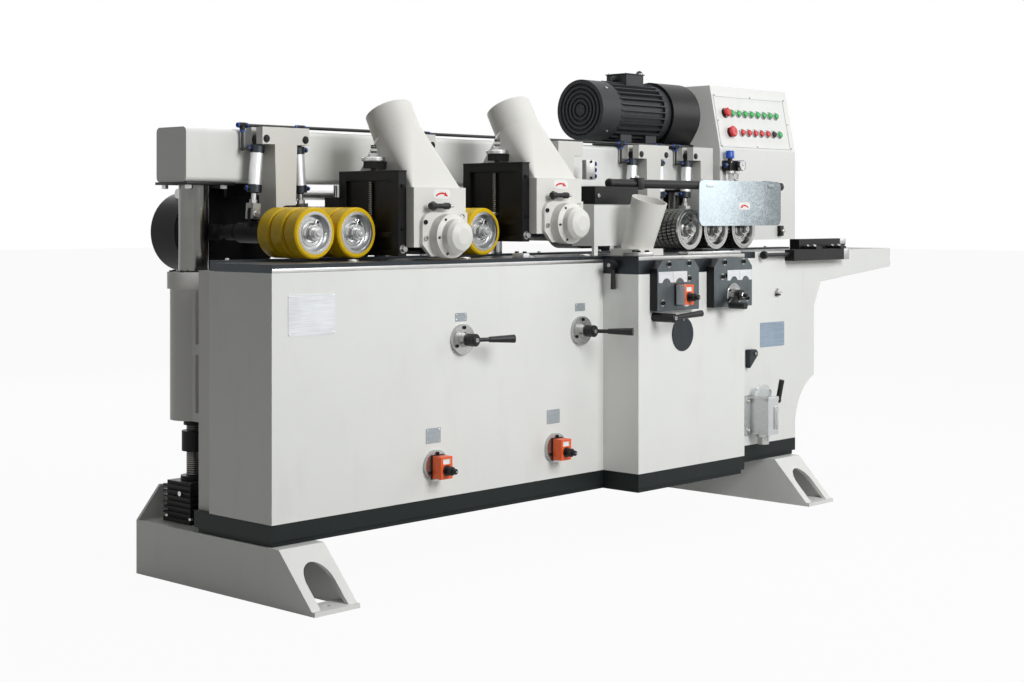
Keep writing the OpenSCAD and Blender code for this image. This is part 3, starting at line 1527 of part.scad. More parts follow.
// Pressure shoe ahead of the cutter, hung on a rod with a setting disc
module pressure_shoe(i) {
    x1 = heads[i][0] - hood_left - pass_gap;
    x0 = x1 + pass_gap - shoe_t;
    rod_x = heads[i][0] - hood_left - shoe_t / 2;
    z0 = heads[i][1] - 55;
    z1 = z0 + shoe_h;
    disc_z = heads[i][1] + disc_up + pass_gap;
    y0 = hood_y + 30;
    color([0.08, 0.08, 0.09]) place() {
        difference() {
            span(x0, x1, y0, carriage_y, z0, z1);
            span(x0 - cut, x0 + 10, y0 + 26, carriage_y - 30, z0 + 66, z1 - 24);
            span(x0 - cut, x0 + 10, y0 + 26, carriage_y - 30, z0 + 16, z0 + 52);
        }
        bar_z(rod_x, hood_y + 150, z1 - cut, disc_z + 46, shoe_rod_r);
        bar_z(rod_x, hood_y + 150, disc_z, disc_z + 12, disc_d / 2);
    }
}

module top_spindle(i) {
    x = heads[i][0];
    z = heads[i][1];
    color("silver") place() translate([x, 0, z]) rotate([-90, 0, 0]) {
        translate([0, 0, hood_y - 66]) cylinder(h = carriage_back + 56 - hood_y + 66, r = spindle_d / 2);
        cutter(hood_y + 20, carriage_y - 20, cutter_d);
    }
}

base_feet();
base_plinth();
cabinet_shell();
bed_casting();
column_castings();
lift_gearboxes();
outfeed_table();
infeed_table();
fence_bars();
console_cabinet();
control_plates();
position_counters();
oil_pump();
union() {
    side_hood();
    side_guard();
}
guard_rail();
air_service_unit();
air_hose_coil();
spindle_motors();
feed_beam();
union() {
    guide_posts();
    lift_screws();
}
roller_brackets();
air_cylinders();
gear_reducers();
feed_motor();
belt_guard();
air_lines();
feed_shaft();
cylinder_rods_left();
cylinder_rods_right();
roller_arm(0);  // roller_arm_1
roller_arm(1);  // roller_arm_2
roller_arm(2);  // roller_arm_3
roller_arm(3);  // roller_arm_4
roller_arm(4);  // roller_arm_5
roller_arm(5);  // roller_arm_6
feed_roller(0);  // feed_roller_1
feed_roller(1);  // feed_roller_2
feed_roller(2);  // feed_roller_3
feed_roller(3);  // feed_roller_4
feed_roller(4);  // feed_roller_5
feed_roller(5);  // feed_roller_6
top_hood(0);  // top_hood_1
top_hood(1);  // top_hood_2
pressure_shoe(0);  // pressure_shoe_1
pressure_shoe(1);  // pressure_shoe_2
top_spindle(0);  // top_spindle_1
top_spindle(1);  // top_spindle_2
side_spindle_1();
side_spindle_2();
bottom_spindle();
clamp_lever(0);  // clamp_lever_1
clamp_lever(1);  // clamp_lever_2
clamp_lever_3();
clamp_lever_4();
hand_crank();
oil_lever();
guard_flap();
infeed_guide();
emergency_stops();
push_buttons();
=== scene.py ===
"""Looks of a four sided moulder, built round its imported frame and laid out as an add-on."""

import math

import bmesh
import bpy
import numpy as np
from bpy.props import FloatProperty, FloatVectorProperty, IntProperty, PointerProperty
from mathutils import Matrix, Vector


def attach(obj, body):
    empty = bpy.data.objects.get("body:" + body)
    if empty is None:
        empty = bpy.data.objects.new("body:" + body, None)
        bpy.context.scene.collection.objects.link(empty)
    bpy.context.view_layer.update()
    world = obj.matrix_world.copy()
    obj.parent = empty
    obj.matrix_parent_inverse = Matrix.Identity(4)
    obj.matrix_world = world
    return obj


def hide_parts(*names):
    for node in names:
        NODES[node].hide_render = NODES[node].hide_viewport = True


bl_info = {
    "name": "Four sided moulder looks",
    "version": (1, 0, 0),
    "blender": (4, 5, 0),
    "location": "View3D > Sidebar > Moulder",
    "description": "Dresses the packed model of a four sided moulder with finishes and fittings",
    "category": "Add Mesh",
}

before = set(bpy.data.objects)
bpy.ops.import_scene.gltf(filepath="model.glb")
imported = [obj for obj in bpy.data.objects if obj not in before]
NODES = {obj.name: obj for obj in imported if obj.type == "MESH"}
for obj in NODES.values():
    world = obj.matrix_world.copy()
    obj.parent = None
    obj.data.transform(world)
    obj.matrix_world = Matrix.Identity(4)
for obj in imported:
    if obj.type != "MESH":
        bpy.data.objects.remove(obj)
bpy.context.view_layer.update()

MM = 0.001
X, Y, Z = range(3)
# Machine places are in mm from the floor under the cabinet's front left corner
ORIGIN = Vector((1506, 245.3, 0))
FRONT = Vector((0, -1, 0))
BACK = -FRONT
UP = Vector((0, 0, 1))
RIGHT = Vector((1, 0, 0))

TABLE_Z = 872
CABINET_TOP = 850
# The front block and all that it carries lie to the right of this
BLOCK_FROM = 1300
BLOCK_FRONT = -141
PLATE_FRONT = -171
AXLE_Z = 950
ROLLER_BACK = 283
AXLES = (243, 393, 895, 1903, 2053, 2216)
TOOTHED_FROM = 3
STEMS = (318, 318, 820, 1978, 1978, 2291)
SIDES = (-1, 1, 1, -1, 1, -1)
HEADS = ((617, 940), (1121, 974))
HOOD_FRONT = 10
HOOD_BACK = 290
SHOE_TOP = 180
SHOE_FRONT = 40
# A shoe's rod: along from its head, and its depth
SHOE_ROD = (-125, 160)
CLAMPS = ((682, 646), (1196, 646))
COUNTERS = ((576, 300), (1077, 300))
COUNTER_BACK = -12
COUNTER_PLACES = tuple((x, z, COUNTER_BACK) for x, z in COUNTERS) + ((1472, 755, PLATE_FRONT),)
COUNTER_DEEP = 38
SHAFT_DROP = 10
# Left edges of the adjuster plates
PLATES = (1361, 1651)
CRANK = (1754.5, 741)
CYLINDER = (70, 371.5, 1212)
CYLINDER_LEAN = math.atan2(18, 212)
PANEL = Vector((2358, 325, 1244))
PANEL_TILT = math.atan2(47, 236)
PANEL_UP = Vector((0, math.sin(PANEL_TILT), math.cos(PANEL_TILT)))
PANEL_OUT = Vector((0, -math.cos(PANEL_TILT), math.sin(PANEL_TILT)))
ROWS = (138, 65)
MOTOR_AXIS = (478, 1366)
POSTS = (107, 2283)
POST_Y = 478
UNIT = (2400, 301, 1162)
# The oil pump's left, right, front, low and high faces
PUMP = (2076, 2136, -85, 248, 376)


def spot(x, y, z):
    """A machine place in the frame's metres."""
    return (Vector((x, y, z)) - ORIGIN) * MM


def on_panel(u, v, n=0.0):
    """A place on the sloped operator panel: u along it, v up it, n out of it."""
    return spot(*(PANEL + RIGHT * u + PANEL_UP * v + PANEL_OUT * n))


class Wire:
    """A shader socket that takes part in Python expressions."""

    def __init__(self, tree, socket=None):
        self.tree = tree
        self.socket = socket

    def node(self, kind, settings=None, sockets=None, out=0):
        """Adds a node: its settings first, then the values or wires of its sockets."""
        made = self.tree.nodes.new(kind)
        for key, value in (settings or {}).items():
            setattr(made, key, value)
        for key, value in (sockets or {}).items():
            if isinstance(value, Wire):
                self.tree.links.new(value.socket, made.inputs[key])
            else:
                made.inputs[key].default_value = value
        return Wire(self.tree, made.outputs[out])

    def math(self, operation, first, second=0.0):
        return self.node("ShaderNodeMath", {"operation": operation}, {0: first, 1: second})

    def __add__(self, other):
        return self.math("ADD", self, other)

    __radd__ = __add__

    def __sub__(self, other):
        return self.math("SUBTRACT", self, other)

    def __rsub__(self, other):
        return self.math("SUBTRACT", other, self)

    def __mul__(self, other):
        return self.math("MULTIPLY", self, other)

    __rmul__ = __mul__

    def between(self, low, high):
        """0 below low, 1 above high, smooth in between."""
        return self.node(
            "ShaderNodeMapRange", {"interpolation_type": "SMOOTHSTEP"}, {0: self, 1: low, 2: high}
        )

    def mix(self, first, second):
        """The first colour where this wire is 0, the second where it is 1."""
        return self.node("ShaderNodeMix", {"data_type": "RGBA"}, {0: self, 6: first, 7: second}, 2)


class Finish:
    """A material whose shader inputs are set by value or by wire."""

    def __init__(self, name, constants):
        self.material = bpy.data.materials.new(name)
        self.material.use_nodes = True
        tree = self.material.node_tree
        self.shader = tree.nodes["Principled BSDF"]
        self.wire = Wire(tree)
        self.coords = self.wire.node("ShaderNodeTexCoord", out=3)
        self.put(constants)

    def put(self, values):
        for key, value in values.items():
            if isinstance(value, Wire):
                self.wire.tree.links.new(value.socket, self.shader.inputs[key])
            else:
                self.shader.inputs[key].default_value = value

    def noise(self, scale, detail=3.0, stretch=None):
        place = self.coords
        if stretch:
            place = self.wire.node("ShaderNodeMapping", None, {"Vector": place, "Scale": stretch})
        sockets = {"Vector": place, "Scale": scale, "Detail": detail, "Roughness": 0.55}
        return self.wire.node("ShaderNodeTexNoise", None, sockets)

    def cells(self, scale, settings=None, extra=None, out=0):
        sockets = {"Vector": self.coords, "Scale": scale}
        sockets.update(extra or {})
        return self.wire.node("ShaderNodeTexVoronoi", settings, sockets, out)

    def axis(self, number):
        """This surface point's X, Y or Z in the frame's metres."""
        return self.wire.node("ShaderNodeSeparateXYZ", None, {0: self.coords}, number)

    def bump(self, height, distance, strength):
        sockets = {"Height": height, "Distance": distance, "Strength": strength}
        self.put({"Normal": self.wire.node("ShaderNodeBump", None, sockets)})


def rgba(colour, gain=1.0):
    return tuple(min(1.0, part * gain) for part in colour) + (1.0,)


DUST = (0.42, 0.4, 0.36)
# Height in metres over which floor dust thins out
DUST_HEIGHTS = (0.02, 0.5)


def painted(name, colour, roughness=0.4, peel=420.0, depth=0.00025, coat=0.2, grime=0.35, gloss=0.5):
    """Sprayed paint: soft mottle, orange peel, and dust that thickens towards the floor."""
    finish = Finish(
        name, {"Coat Weight": coat, "Coat Roughness": 0.18, "IOR": 1.5, "Specular IOR Level": gloss}
    )
    mottle = finish.noise(5.0, 4.0)
    smear = finish.noise(14.0, 5.0, (1.0, 1.0, 0.3)).between(0.52, 0.8)
    low = 1 - finish.axis(Z).between(*DUST_HEIGHTS)
    dust = (smear * 0.3 + low * 0.5 * mottle) * grime
    clean = mottle.mix(rgba(colour, 0.96), rgba(colour, 1.04))
    finish.put({
        "Base Color": dust.mix(clean, rgba(DUST)),
        "Roughness": roughness + mottle * 0.08 + dust * 0.3,
    })
    finish.bump(finish.noise(peel, 2.0), depth, 0.6)
    return finish.material


def metal(
    name, colour, roughness=0.3, grain=(1.0, 1.0, 1.0), scale=300.0, depth=0.0001, stain=0.25, bare=1.0
):
    """Worked metal: a directional tool grain with faint oil stains."""
    finish = Finish(name, {"Metallic": bare})
    streak = finish.noise(scale, 3.0, grain)
    cloud = finish.noise(9.0, 4.0)
    tint = (streak * 0.5 + cloud * 0.5).between(0.3, 0.75)
    marked = cloud.between(0.55, 0.75) * stain
    bright = tint.mix(rgba(colour, 0.8), rgba(colour, 1.12))
    finish.put({
        "Base Color": marked.mix(bright, rgba(colour, 0.35)),
        "Roughness": roughness + streak * 0.14 + marked * 0.25,
    })
    finish.bump(streak, depth, 0.5)
    return finish.material


def plastic(name, colour, roughness=0.4, gloss=0.5):
    """Moulded plastic: even colour with a fine spark-eroded grain and light handling marks."""
    finish = Finish(name, {"IOR": 1.5, "Specular IOR Level": gloss})
    handled = finish.noise(60.0, 4.0)
    finish.put({
        "Base Color": handled.mix(rgba(colour, 0.9), rgba(colour, 1.08)),
        "Roughness": roughness + handled * 0.12 - 0.06,
    })
    finish.bump(finish.noise(1400.0, 2.0), 0.00012, 0.5)
    return finish.material


RUBBED = (0.34, 0.19, 0.012)


def tyre_finish(name, colour):
    """Cast polyurethane, browner where timber dust has rubbed into the tread."""
    finish = Finish(name, {
        "Specular IOR Level": 0.25, "Subsurface Weight": 0.06, "Subsurface Radius": (0.01, 0.006, 0.002),
    })
    cloud = finish.noise(40.0, 4.0)
    rub = finish.noise(160.0, 4.0).between(0.42, 0.8)
    worn = rub * 0.12 + cloud.between(0.45, 0.8) * 0.2
    finish.put({
        "Base Color": worn.mix(rgba(colour), rgba(RUBBED)),
        "Roughness": 0.36 + rub * 0.2,
    })
    finish.bump(finish.noise(500.0, 2.0), 0.0002, 0.4)
    return finish.material


# Where along X, in metres, the painted reflection on the galvanised sheet fades from bright to dull
ZINC_REFLECTION_FADE = (0.42, 0.86)


def spangle(name, colour):
    """Galvanised sheet: fine zinc crystals and cloudy patches, with a painted reflection from bright to
    dull along X.
    """
    finish = Finish(name, {"Metallic": 0.92})
    crystal = finish.cells(190.0, out=1)
    shade = finish.wire.node("ShaderNodeSeparateColor", None, {0: crystal})
    patch = finish.noise(7.0, 3.0)
    # Painted reflection: the sheet is coloured brighter at the left and duller at the right
    painted_reflection = 1 - finish.axis(X).between(*ZINC_REFLECTION_FADE)
    tone = (shade * 0.22 + patch * 0.28 + painted_reflection * 0.5).between(0.12, 0.88)
    finish.put({
        "Base Color": tone.mix(rgba(colour, 0.38), rgba(colour, 1.5)),
        "Roughness": 0.36 + shade * 0.16,
    })
    finish.bump(shade, 0.00012, 0.4)
    return finish.material


HOLE_SHADE = (0.004, 0.004, 0.004)


def perforated(name, colour):
    """Fan cowl end: a punched hole pattern, dark through the holes."""
    finish = Finish(name, {"IOR": 1.5, "Specular IOR Level": 0.25})
    hole = 1 - finish.cells(150.0, {"distance": "CHEBYCHEV"}, {"Randomness": 0.0}).between(0.26, 0.34)
    cloud = finish.noise(30.0, 3.0)
    finish.put({
        "Base Color": hole.mix(cloud.mix(rgba(colour, 0.85), rgba(colour, 1.2)), rgba(HOLE_SHADE)),
        "Roughness": 0.5 + hole * 0.3,
    })
    finish.bump(1 - hole, 0.0012, 0.8)
    return finish.material


# Length in metres of one band of a wave texture whose scale is 1
WAVE_LENGTH = 0.314
THREAD_PITCH = 0.006


def threaded(name, colour):
    """A screw thread as rings along Z, with painted shade in its roots."""
    finish = Finish(name, {"Metallic": 1.0})
    turn = finish.wire.node(
        "ShaderNodeTexWave",
        {"wave_type": "BANDS", "bands_direction": "Z", "wave_profile": "TRI"},
        {"Vector": finish.coords, "Scale": WAVE_LENGTH / THREAD_PITCH, "Distortion": 0.0},
    )
    value = turn.between(0.0, 1.0)
    # Painted shade: the colour darkens into the thread's roots, following its bump
    finish.put({
        "Base Color": value.mix(rgba(colour, 0.3), rgba(colour, 1.1)),
        "Roughness": 0.5 - value * 0.2,
    })
    finish.bump(value, 0.0016, 0.9)
    return finish.material


def clear(name, colour):
    """Clear plastic, a little hazy, with light handling marks."""
    finish = Finish(name, {"IOR": 1.46, "Transmission Weight": 0.92})
    haze = finish.noise(50.0, 4.0)
    finish.put({
        "Base Color": haze.mix(rgba(colour, 0.92), rgba(colour, 1.0)),
        "Roughness": 0.08 + haze * 0.12,
    })
    return finish.material


class MoulderFinishes(bpy.types.PropertyGroup):
    """Colours of the machine's finishes."""


COLOURS = {
    "white_paint": ("White paint", "Off-white sheet metal paint", (0.75, 0.76, 0.735)),
    "cast_paint": ("Casting paint", "Warm white on hoods and brackets", (0.69, 0.685, 0.65)),
    "plinth_paint": ("Plinth paint", "Green-black band round the base", (0.004, 0.008, 0.008)),
    "black_paint": ("Black paint", "Shoes, arms, covers and drive", (0.006, 0.006, 0.0065)),
    "motor_paint": ("Motor paint", "Dark grey motors", (0.03, 0.033, 0.036)),
    "tyre": ("Tyre", "Yellow polyurethane", (0.68, 0.45, 0.004)),
    "steel": ("Steel", "Bright machined steel", (0.5, 0.5, 0.49)),
    "ground": ("Ground steel", "Table tops", (0.2, 0.2, 0.205)),
    "blackened": ("Blackened steel", "Fences and table edges", (0.045, 0.052, 0.058)),
    "blued": ("Blued steel", "Adjuster plates", (0.12, 0.138, 0.145)),
    "tooth": ("Toothed steel", "Teeth of the outfeed rollers", (0.2, 0.205, 0.19)),
    "thread": ("Thread", "Lifting screws and threaded rods", (0.15, 0.145, 0.135)),
    "chrome": ("Chrome", "Button rims and bed pins", (0.44, 0.44, 0.44)),
    "post": ("Post", "Oiled guide posts", (0.17, 0.17, 0.16)),
    "aluminium": ("Aluminium", "Hubs and pump", (0.6, 0.61, 0.62)),
    "barrel": ("Barrel", "Anodised air cylinder barrels", (0.74, 0.75, 0.76)),
    "zinc": ("Zinc", "Galvanised roller guard", (0.4, 0.455, 0.48)),
    "scale": ("Scale", "Scales and the large bare plate", (0.74, 0.76, 0.78)),
    "tag": ("Tag", "Small bare plates", (0.36, 0.4, 0.43)),
    "plate_blue": ("Blue plate", "Bare plate on the right cabinet", (0.3, 0.38, 0.47)),
    "orange": ("Orange", "Position counters", (0.86, 0.115, 0.018)),
    "red": ("Red", "Stops and hose", (0.62, 0.012, 0.016)),
    "green": ("Green", "Start buttons", (0.02, 0.42, 0.09)),
    "blue": ("Blue", "Air fittings", (0.015, 0.09, 0.5)),
    "black": ("Black", "Knobs, levers and air lines", (0.008, 0.008, 0.009)),
    "dial": ("Dial", "Dial faces and labels", (0.82, 0.82, 0.8)),
    "glass": ("Glass", "Clear bowls", (0.9, 0.92, 0.93)),
}
for key, (label, text, shade) in COLOURS.items():
    MoulderFinishes.__annotations__[key] = FloatVectorProperty(
        name=label, description=text, default=shade, subtype="COLOR", min=0.0, max=1.0
    )


class MoulderStage(bpy.types.PropertyGroup):
    """Camera, floor and light."""

    camera_place: FloatVectorProperty(
        name="Camera place", description="Where the camera stands", subtype="TRANSLATION",
        unit="LENGTH", default=(-4.2289, -3.6465, 0.99865),
    )
    camera_turn: FloatVectorProperty(
        name="Camera turn", description="Which way the camera looks", subtype="EULER",
        unit="ROTATION", default=(math.radians(90.0), 0.0, math.radians(-46.75)),
    )
    lens: FloatProperty(name="Lens", description="Focal length in mm on a 36 mm sensor", default=59.56)
    shift: FloatProperty(name="Shift", description="Upright shift of the picture", default=-0.123)
    floor_shade: FloatVectorProperty(
        name="Floor", description="Colour of the floor", subtype="COLOR", default=(0.45, 0.45, 0.45)
    )
    floor_reach: FloatProperty(
        name="Floor reach", description="Half the width of the floor", unit="LENGTH", default=40.0
    )


class MoulderFittings(bpy.types.PropertyGroup):
    """Sizes of the small fittings."""

    screw_head: FloatProperty(
        name="Screw head", description="Radius of a cap screw's head", unit="LENGTH", default=0.0065
    )
    plate_edge: FloatProperty(
        name="Plate thickness", description="Thickness of bare plates", unit="LENGTH", default=0.0012
    )
    turn_steps: IntProperty(
        name="Turning steps", description="Faces round a turned fitting", default=32, min=12, max=64
    )


FINISHES = {}
# A grain is drawn out along the axis that has the small number
MILLED = (0.02, 1.0, 1.0)
ROLLED = (0.03, 1.0, 1.0)
DRAWN = (1.0, 1.0, 0.05)
POLISHED = (1.0, 1.0, 0.03)


def make_finishes(c):
    """Makes each finish once from its colour, by the name its pieces ask for."""
    FINISHES.update({
        "white": painted("white_paint", c.white_paint),
        "cast": painted("casting_paint", c.cast_paint, 0.45, 240.0, 0.0006, 0.1),
        "plinth": painted("plinth_paint", c.plinth_paint, 0.5, 420.0, 0.0003, 0.0, 0.03, 0.2),
        "black": painted("black_paint", c.black_paint, 0.34, 500.0, 0.0002, 0.0, 0.03, 0.24),
        "rough_black": painted("cast_black_paint", c.black_paint, 0.5, 200.0, 0.0008, 0.0, 0.05, 0.15),
        "motor": painted("motor_paint", c.motor_paint, 0.46, 260.0, 0.0006, 0.0, 0.05, 0.3),
        "cowl": perforated("perforated_cowl", c.motor_paint),
        "steel": metal("machined_steel", c.steel, 0.22),
        "turned": metal("turned_steel", c.steel, 0.16, (1.0, 0.05, 1.0), 500.0),
        "ground": metal("ground_table_steel", c.ground, 0.26, MILLED, 700.0, 0.00012, 0.5),
        "edge": metal("milled_edge_steel", c.steel, 0.34, MILLED, 500.0, 0.0001, 0.35),
        "blackened": metal("blackened_steel", c.blackened, 0.34, DRAWN, 400.0, 0.0001, 0.3),
        "blued": metal("blued_steel", c.blued, 0.3, DRAWN, 400.0, 0.0001, 0.6),
        "tooth": metal("toothed_steel", c.tooth, 0.3, (1.0, 0.2, 1.0), 300.0, 0.0002, 0.5),
        "chrome": metal("chrome_plate", c.chrome, 0.07, POLISHED, 60.0, 0.0, 0.02),
        "post": metal("oiled_post", c.post, 0.1, POLISHED, 60.0, 0.0, 0.3),
        "hub": metal("cast_aluminium", c.aluminium, 0.24, (1.0, 0.1, 1.0), 500.0, 0.00005, 0.1),
        "barrel": metal("anodised_barrel", c.barrel, 0.4, DRAWN, 500.0, 0.00004, 0.05),
        "scale": metal("scale", c.scale, 0.34, ROLLED, 500.0, 0.00004, 0.05, 0.3),
        "tag": metal("tag_plate", c.tag, 0.34, ROLLED, 500.0, 0.00004, 0.05, 0.3),
        "plate_blue": metal("blue_plate", c.plate_blue, 0.36, ROLLED, 400.0, 0.00006, 0.05, 0.3),
        "screw": threaded("rolled_thread", c.thread),
        "zinc": spangle("galvanised_sheet", c.zinc),
        "tyre": tyre_finish("polyurethane_tyre", c.tyre),
        "orange": plastic("orange_moulding", c.orange, 0.35),
        "red": plastic("red_moulding", c.red, 0.25),
        "green": plastic("green_moulding", c.green, 0.25),
        "blue": plastic("blue_moulding", c.blue, 0.3),
        "knob": plastic("black_moulding", c.black, 0.42, 0.3),
        "hose": plastic("nylon_tube", c.black, 0.3),
        "red_hose": plastic("red_tube", c.red, 0.22),
        "dial": plastic("dial_face", c.dial),
        "glass": clear("clear_bowl", c.glass),
    })


def facing(at, axis):
    """A matrix at a place whose Z runs along an axis."""
    return Matrix.Translation(at) @ Vector(axis).to_track_quat("Z", "Y").to_matrix().to_4x4()


def flat_on(at, out):
    """A matrix at a place on an upright face: X along it, Y up it, Z out of it."""
    along = UP.cross(out).normalized()
    turn = Matrix((along, out.cross(along), out)).transposed()
    return Matrix.Translation(at) @ turn.to_4x4()


def polar(reach, turn):
    """A point at a distance from a middle, turned by degrees."""
    return reach * math.cos(math.radians(turn)), reach * math.sin(math.radians(turn))


def around(count, first, reach):
    """The points of a bolt circle, from its first one's turn in degrees."""
    return [polar(reach, first + 360 / count * i) for i in range(count)]


def rim(outer, high, edge=1, sink=0.5, inner=0):
    """Outline of a disc or ring with a chamfer, sunk a little into what carries it."""
    return [(inner, high), (outer - edge, high), (outer, high - edge), (outer, -sink)]


def washer(outer, thick, inner):
    """Outline of a plain washer, sunk a little into what carries it."""
    return [(outer, -0.5), (outer, thick), (inner, thick)]


def rounded(width, height, radius, steps=5):
    """Outline of a rectangle with round corners, about its middle."""
    outline = []
    for corner, (sx, sy) in enumerate(((1, 1), (-1, 1), (-1, -1), (1, -1))):
        for step in range(steps + 1):
            x, y = polar(radius, 90 * (corner + step / steps))
            outline.append((sx * (width / 2 - radius) + x, sy * (height / 2 - radius) + y))
    return outline


# Steps along an arrow's band, degrees to its tip, and half its head in band widths
ARROW_STEPS = 8
ARROW_TIP = 24
ARROW_HEAD = 1.3


def turn_arrow(radius, width, first, last):
    """Outline of a plain curved arrow: a band with a wider head at its end."""
    turns = [first + (last - first) * i / ARROW_STEPS for i in range(ARROW_STEPS + 1)]
    outer = [polar(radius + width / 2, turn) for turn in turns]
    inner = [polar(radius - width / 2, turn) for turn in turns]
    head = [
        polar(radius + width * ARROW_HEAD, last),
        polar(radius, last + math.copysign(ARROW_TIP, last - first)),
        polar(radius - width * ARROW_HEAD, last),
    ]
    return outer + head + inner[::-1]


# Edges that turn by more than this stay sharp
CREASE = math.radians(35)
WELD = 1e-6


class Piece:
    """A mesh in the making, from turned, blocked and stamped shapes given in mm."""

    def __init__(self, *finishes):
        self.bm = bmesh.new()
        self.finishes = finishes

    def take(self, part, matrix, finish):
        """Closes a shape, moves it into place and adds it."""
        bmesh.ops.remove_doubles(part, verts=part.verts, dist=WELD)
        bmesh.ops.recalc_face_normals(part, faces=part.faces)
        bmesh.ops.transform(part, matrix=matrix, verts=part.verts)
        for face in part.faces:
            face.material_index = finish
        shape = bpy.data.meshes.new("shape")
        part.to_mesh(shape)
        part.free()
        self.bm.from_mesh(shape)
        bpy.data.meshes.remove(shape)

    def bevel(self, part, edge, segments):
        bmesh.ops.bevel(
            part, geom=part.edges[:], offset=edge * MM, segments=segments, profile=0.5,
            affect="EDGES", material=-1,
        )

    def turned(self, profile, at, axis, finish=0, steps=None):
        """Spins an outline of (radius, along) about an axis through a place."""
        part = bmesh.new()
        points = [part.verts.new((radius * MM, 0.0, along * MM)) for radius, along in profile]
        edges = [part.edges.new(pair) for pair in zip(points, points[1:])]
        bmesh.ops.spin(
            part, geom=points + edges, cent=(0.0, 0.0, 0.0), axis=(0.0, 0.0, 1.0), angle=math.tau,
            steps=steps or bpy.context.scene.moulder_fittings.turn_steps, use_merge=True,
        )
        self.take(part, facing(at, axis), finish)

    def block(self, low, high, edge=0, finish=0, matrix=None):
        """A box between two corners, with its edges rounded off."""
        part = bmesh.new()
        low = Vector(low)
        high = Vector(high)
        bmesh.ops.create_cube(part, size=1.0)
        bmesh.ops.scale(part, vec=(high - low) * MM, verts=part.verts)
        if edge:
            self.bevel(part, edge, 2)
        middle = (low + high) / 2
        if matrix is None:
            move = Matrix.Translation(spot(*middle))
        else:
            move = matrix @ Matrix.Translation(middle * MM)
        self.take(part, move, finish)

    def slab(self, outline, thick, matrix, edge=0, finish=0):
        """An outline, raised by a thickness along the matrix's Z."""
        part = bmesh.new()
        face = part.faces.new([part.verts.new((x * MM, y * MM, 0.0)) for x, y in outline])
        raised = bmesh.ops.extrude_face_region(part, geom=[face])["geom"]
        tops = [item for item in raised if isinstance(item, bmesh.types.BMVert)]
        bmesh.ops.translate(part, vec=(0.0, 0.0, thick * MM), verts=tops)
        if edge:
            self.bevel(part, edge, 1)
        self.take(part, matrix, finish)

    def screw(self, at, axis, size=1.0, finish=0):
        """A cap screw's head with a round socket."""
        head = bpy.context.scene.moulder_fittings.screw_head / MM * size
        outline = [
            (0, head * 0.25), (head * 0.5, head * 0.25), (head * 0.56, head * 0.85),
            (head * 0.88, head * 0.85), (head, head * 0.7), (head, -0.2),
        ]
        self.turned(outline, at, axis, finish, 12)

    def nut(self, at, axis, across, thick, finish=0):
        """A hexagon head with a turned chamfer, standing on a place."""
        half = across / 2
        outline = [(0, thick), (half * 0.84, thick), (half, thick * 0.86), (half, -0.2)]
        self.turned(outline, at, axis, finish, 6)

    def port(self, outlines, at, axis):
        """An air fitting: its body in the first finish, its release ring in the second."""
        for finish, outline in enumerate(outlines):
            self.turned(outline, at, axis, finish, 16)

    def arrow(self, at, width, first, last, plate, ink):
        """A round-ended label on a front face, with a turning arrow on it."""
        label = flat_on(at, FRONT)
        self.slab(rounded(width, 26, 12), 0.4, label, 0, plate)
        bow = label @ Matrix.Translation((0, -34 * MM, 0.4 * MM))
        self.slab(turn_arrow(36, 5, first, last), 0.3, bow, 0, ink)

    def done(self, name, body, slot):
        """Makes the object, smooth but for its sharp edges, and sets it on its body."""
        mesh = bpy.data.meshes.new(name)
        self.bm.to_mesh(mesh)
        self.bm.free()
        for finish in self.finishes:
            mesh.materials.append(FINISHES[finish])
        mesh.shade_smooth()
        mesh.set_sharp_from_angle(angle=CREASE)
        piece = bpy.data.objects.new(name, mesh)
        bpy.context.scene.collection.objects.link(piece)
        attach(piece, body)


# Each lamp's name, place, aim, size in metres and power in watts
LAMPS = (
    ("key", (-0.45, -4.8, 3.1), (-0.1, 0.0, 0.7), 2.4, 214.0),
    ("fill", (4.6, -3.2, 2.6), (0.4, 0.0, 0.8), 2.6, 55.0),
    ("top", (0.3, 0.4, 4.6), (0.2, 0.0, 0.8), 3.0, 75.0),
    ("rear", (1.2, 4.8, 3.0), (0.0, 0.2, 0.8), 3.0, 110.0),
)
WHITE = (1.0, 1.0, 1.0, 1.0)
# Share of plain white in the floor as it is seen
FLOOR_WHITE = 0.95
# The world's strength as a light, of the 1 at which it is seen
WORLD_FILL = 0.08


class MOULDER_OT_stage(bpy.types.Operator):
    """Sets up the camera, the floor and the light"""

    bl_idname = "moulder.stage"
    bl_label = "Stage"

    def execute(self, context):
        stage = context.scene.moulder_stage
        lens = bpy.data.cameras.new("camera")
        lens.sensor_width = 36.0
        lens.lens = stage.lens
        lens.shift_y = stage.shift
        camera = bpy.data.objects.new("camera", lens)
        camera.location = stage.camera_place
        camera.rotation_euler = stage.camera_turn
        context.scene.collection.objects.link(camera)
        context.scene.camera = camera
        context.scene.view_settings.view_transform = "Standard"

        part = bmesh.new()
        bmesh.ops.create_grid(part, x_segments=4, y_segments=4, size=stage.floor_reach)
        mesh = bpy.data.meshes.new("floor")
        part.to_mesh(mesh)
        part.free()
        floor = bpy.data.objects.new("floor", mesh)
        mesh.materials.append(floor_finish(stage.floor_shade))
        context.scene.collection.objects.link(floor)

        for name, place, aim, size, power in LAMPS:
            light = bpy.data.lights.new(name, "AREA")
            light.size = size
            light.energy = power
            lamp = bpy.data.objects.new(name, light)
            lamp.location = place
            lamp.rotation_euler = (Vector(place) - Vector(aim)).to_track_quat("Z", "Y").to_euler()
            context.scene.collection.objects.link(lamp)
        light_world(context.scene)
        return {"FINISHED"}


def seen(wire):
    """1 for camera, mirror and glass rays, 0 for the light that falls on things."""
    camera, glossy, through = (wire.node("ShaderNodeLightPath", out=out) for out in (0, 3, 6))
    return wire.math("MAXIMUM", wire.math("MAXIMUM", camera, glossy), through)


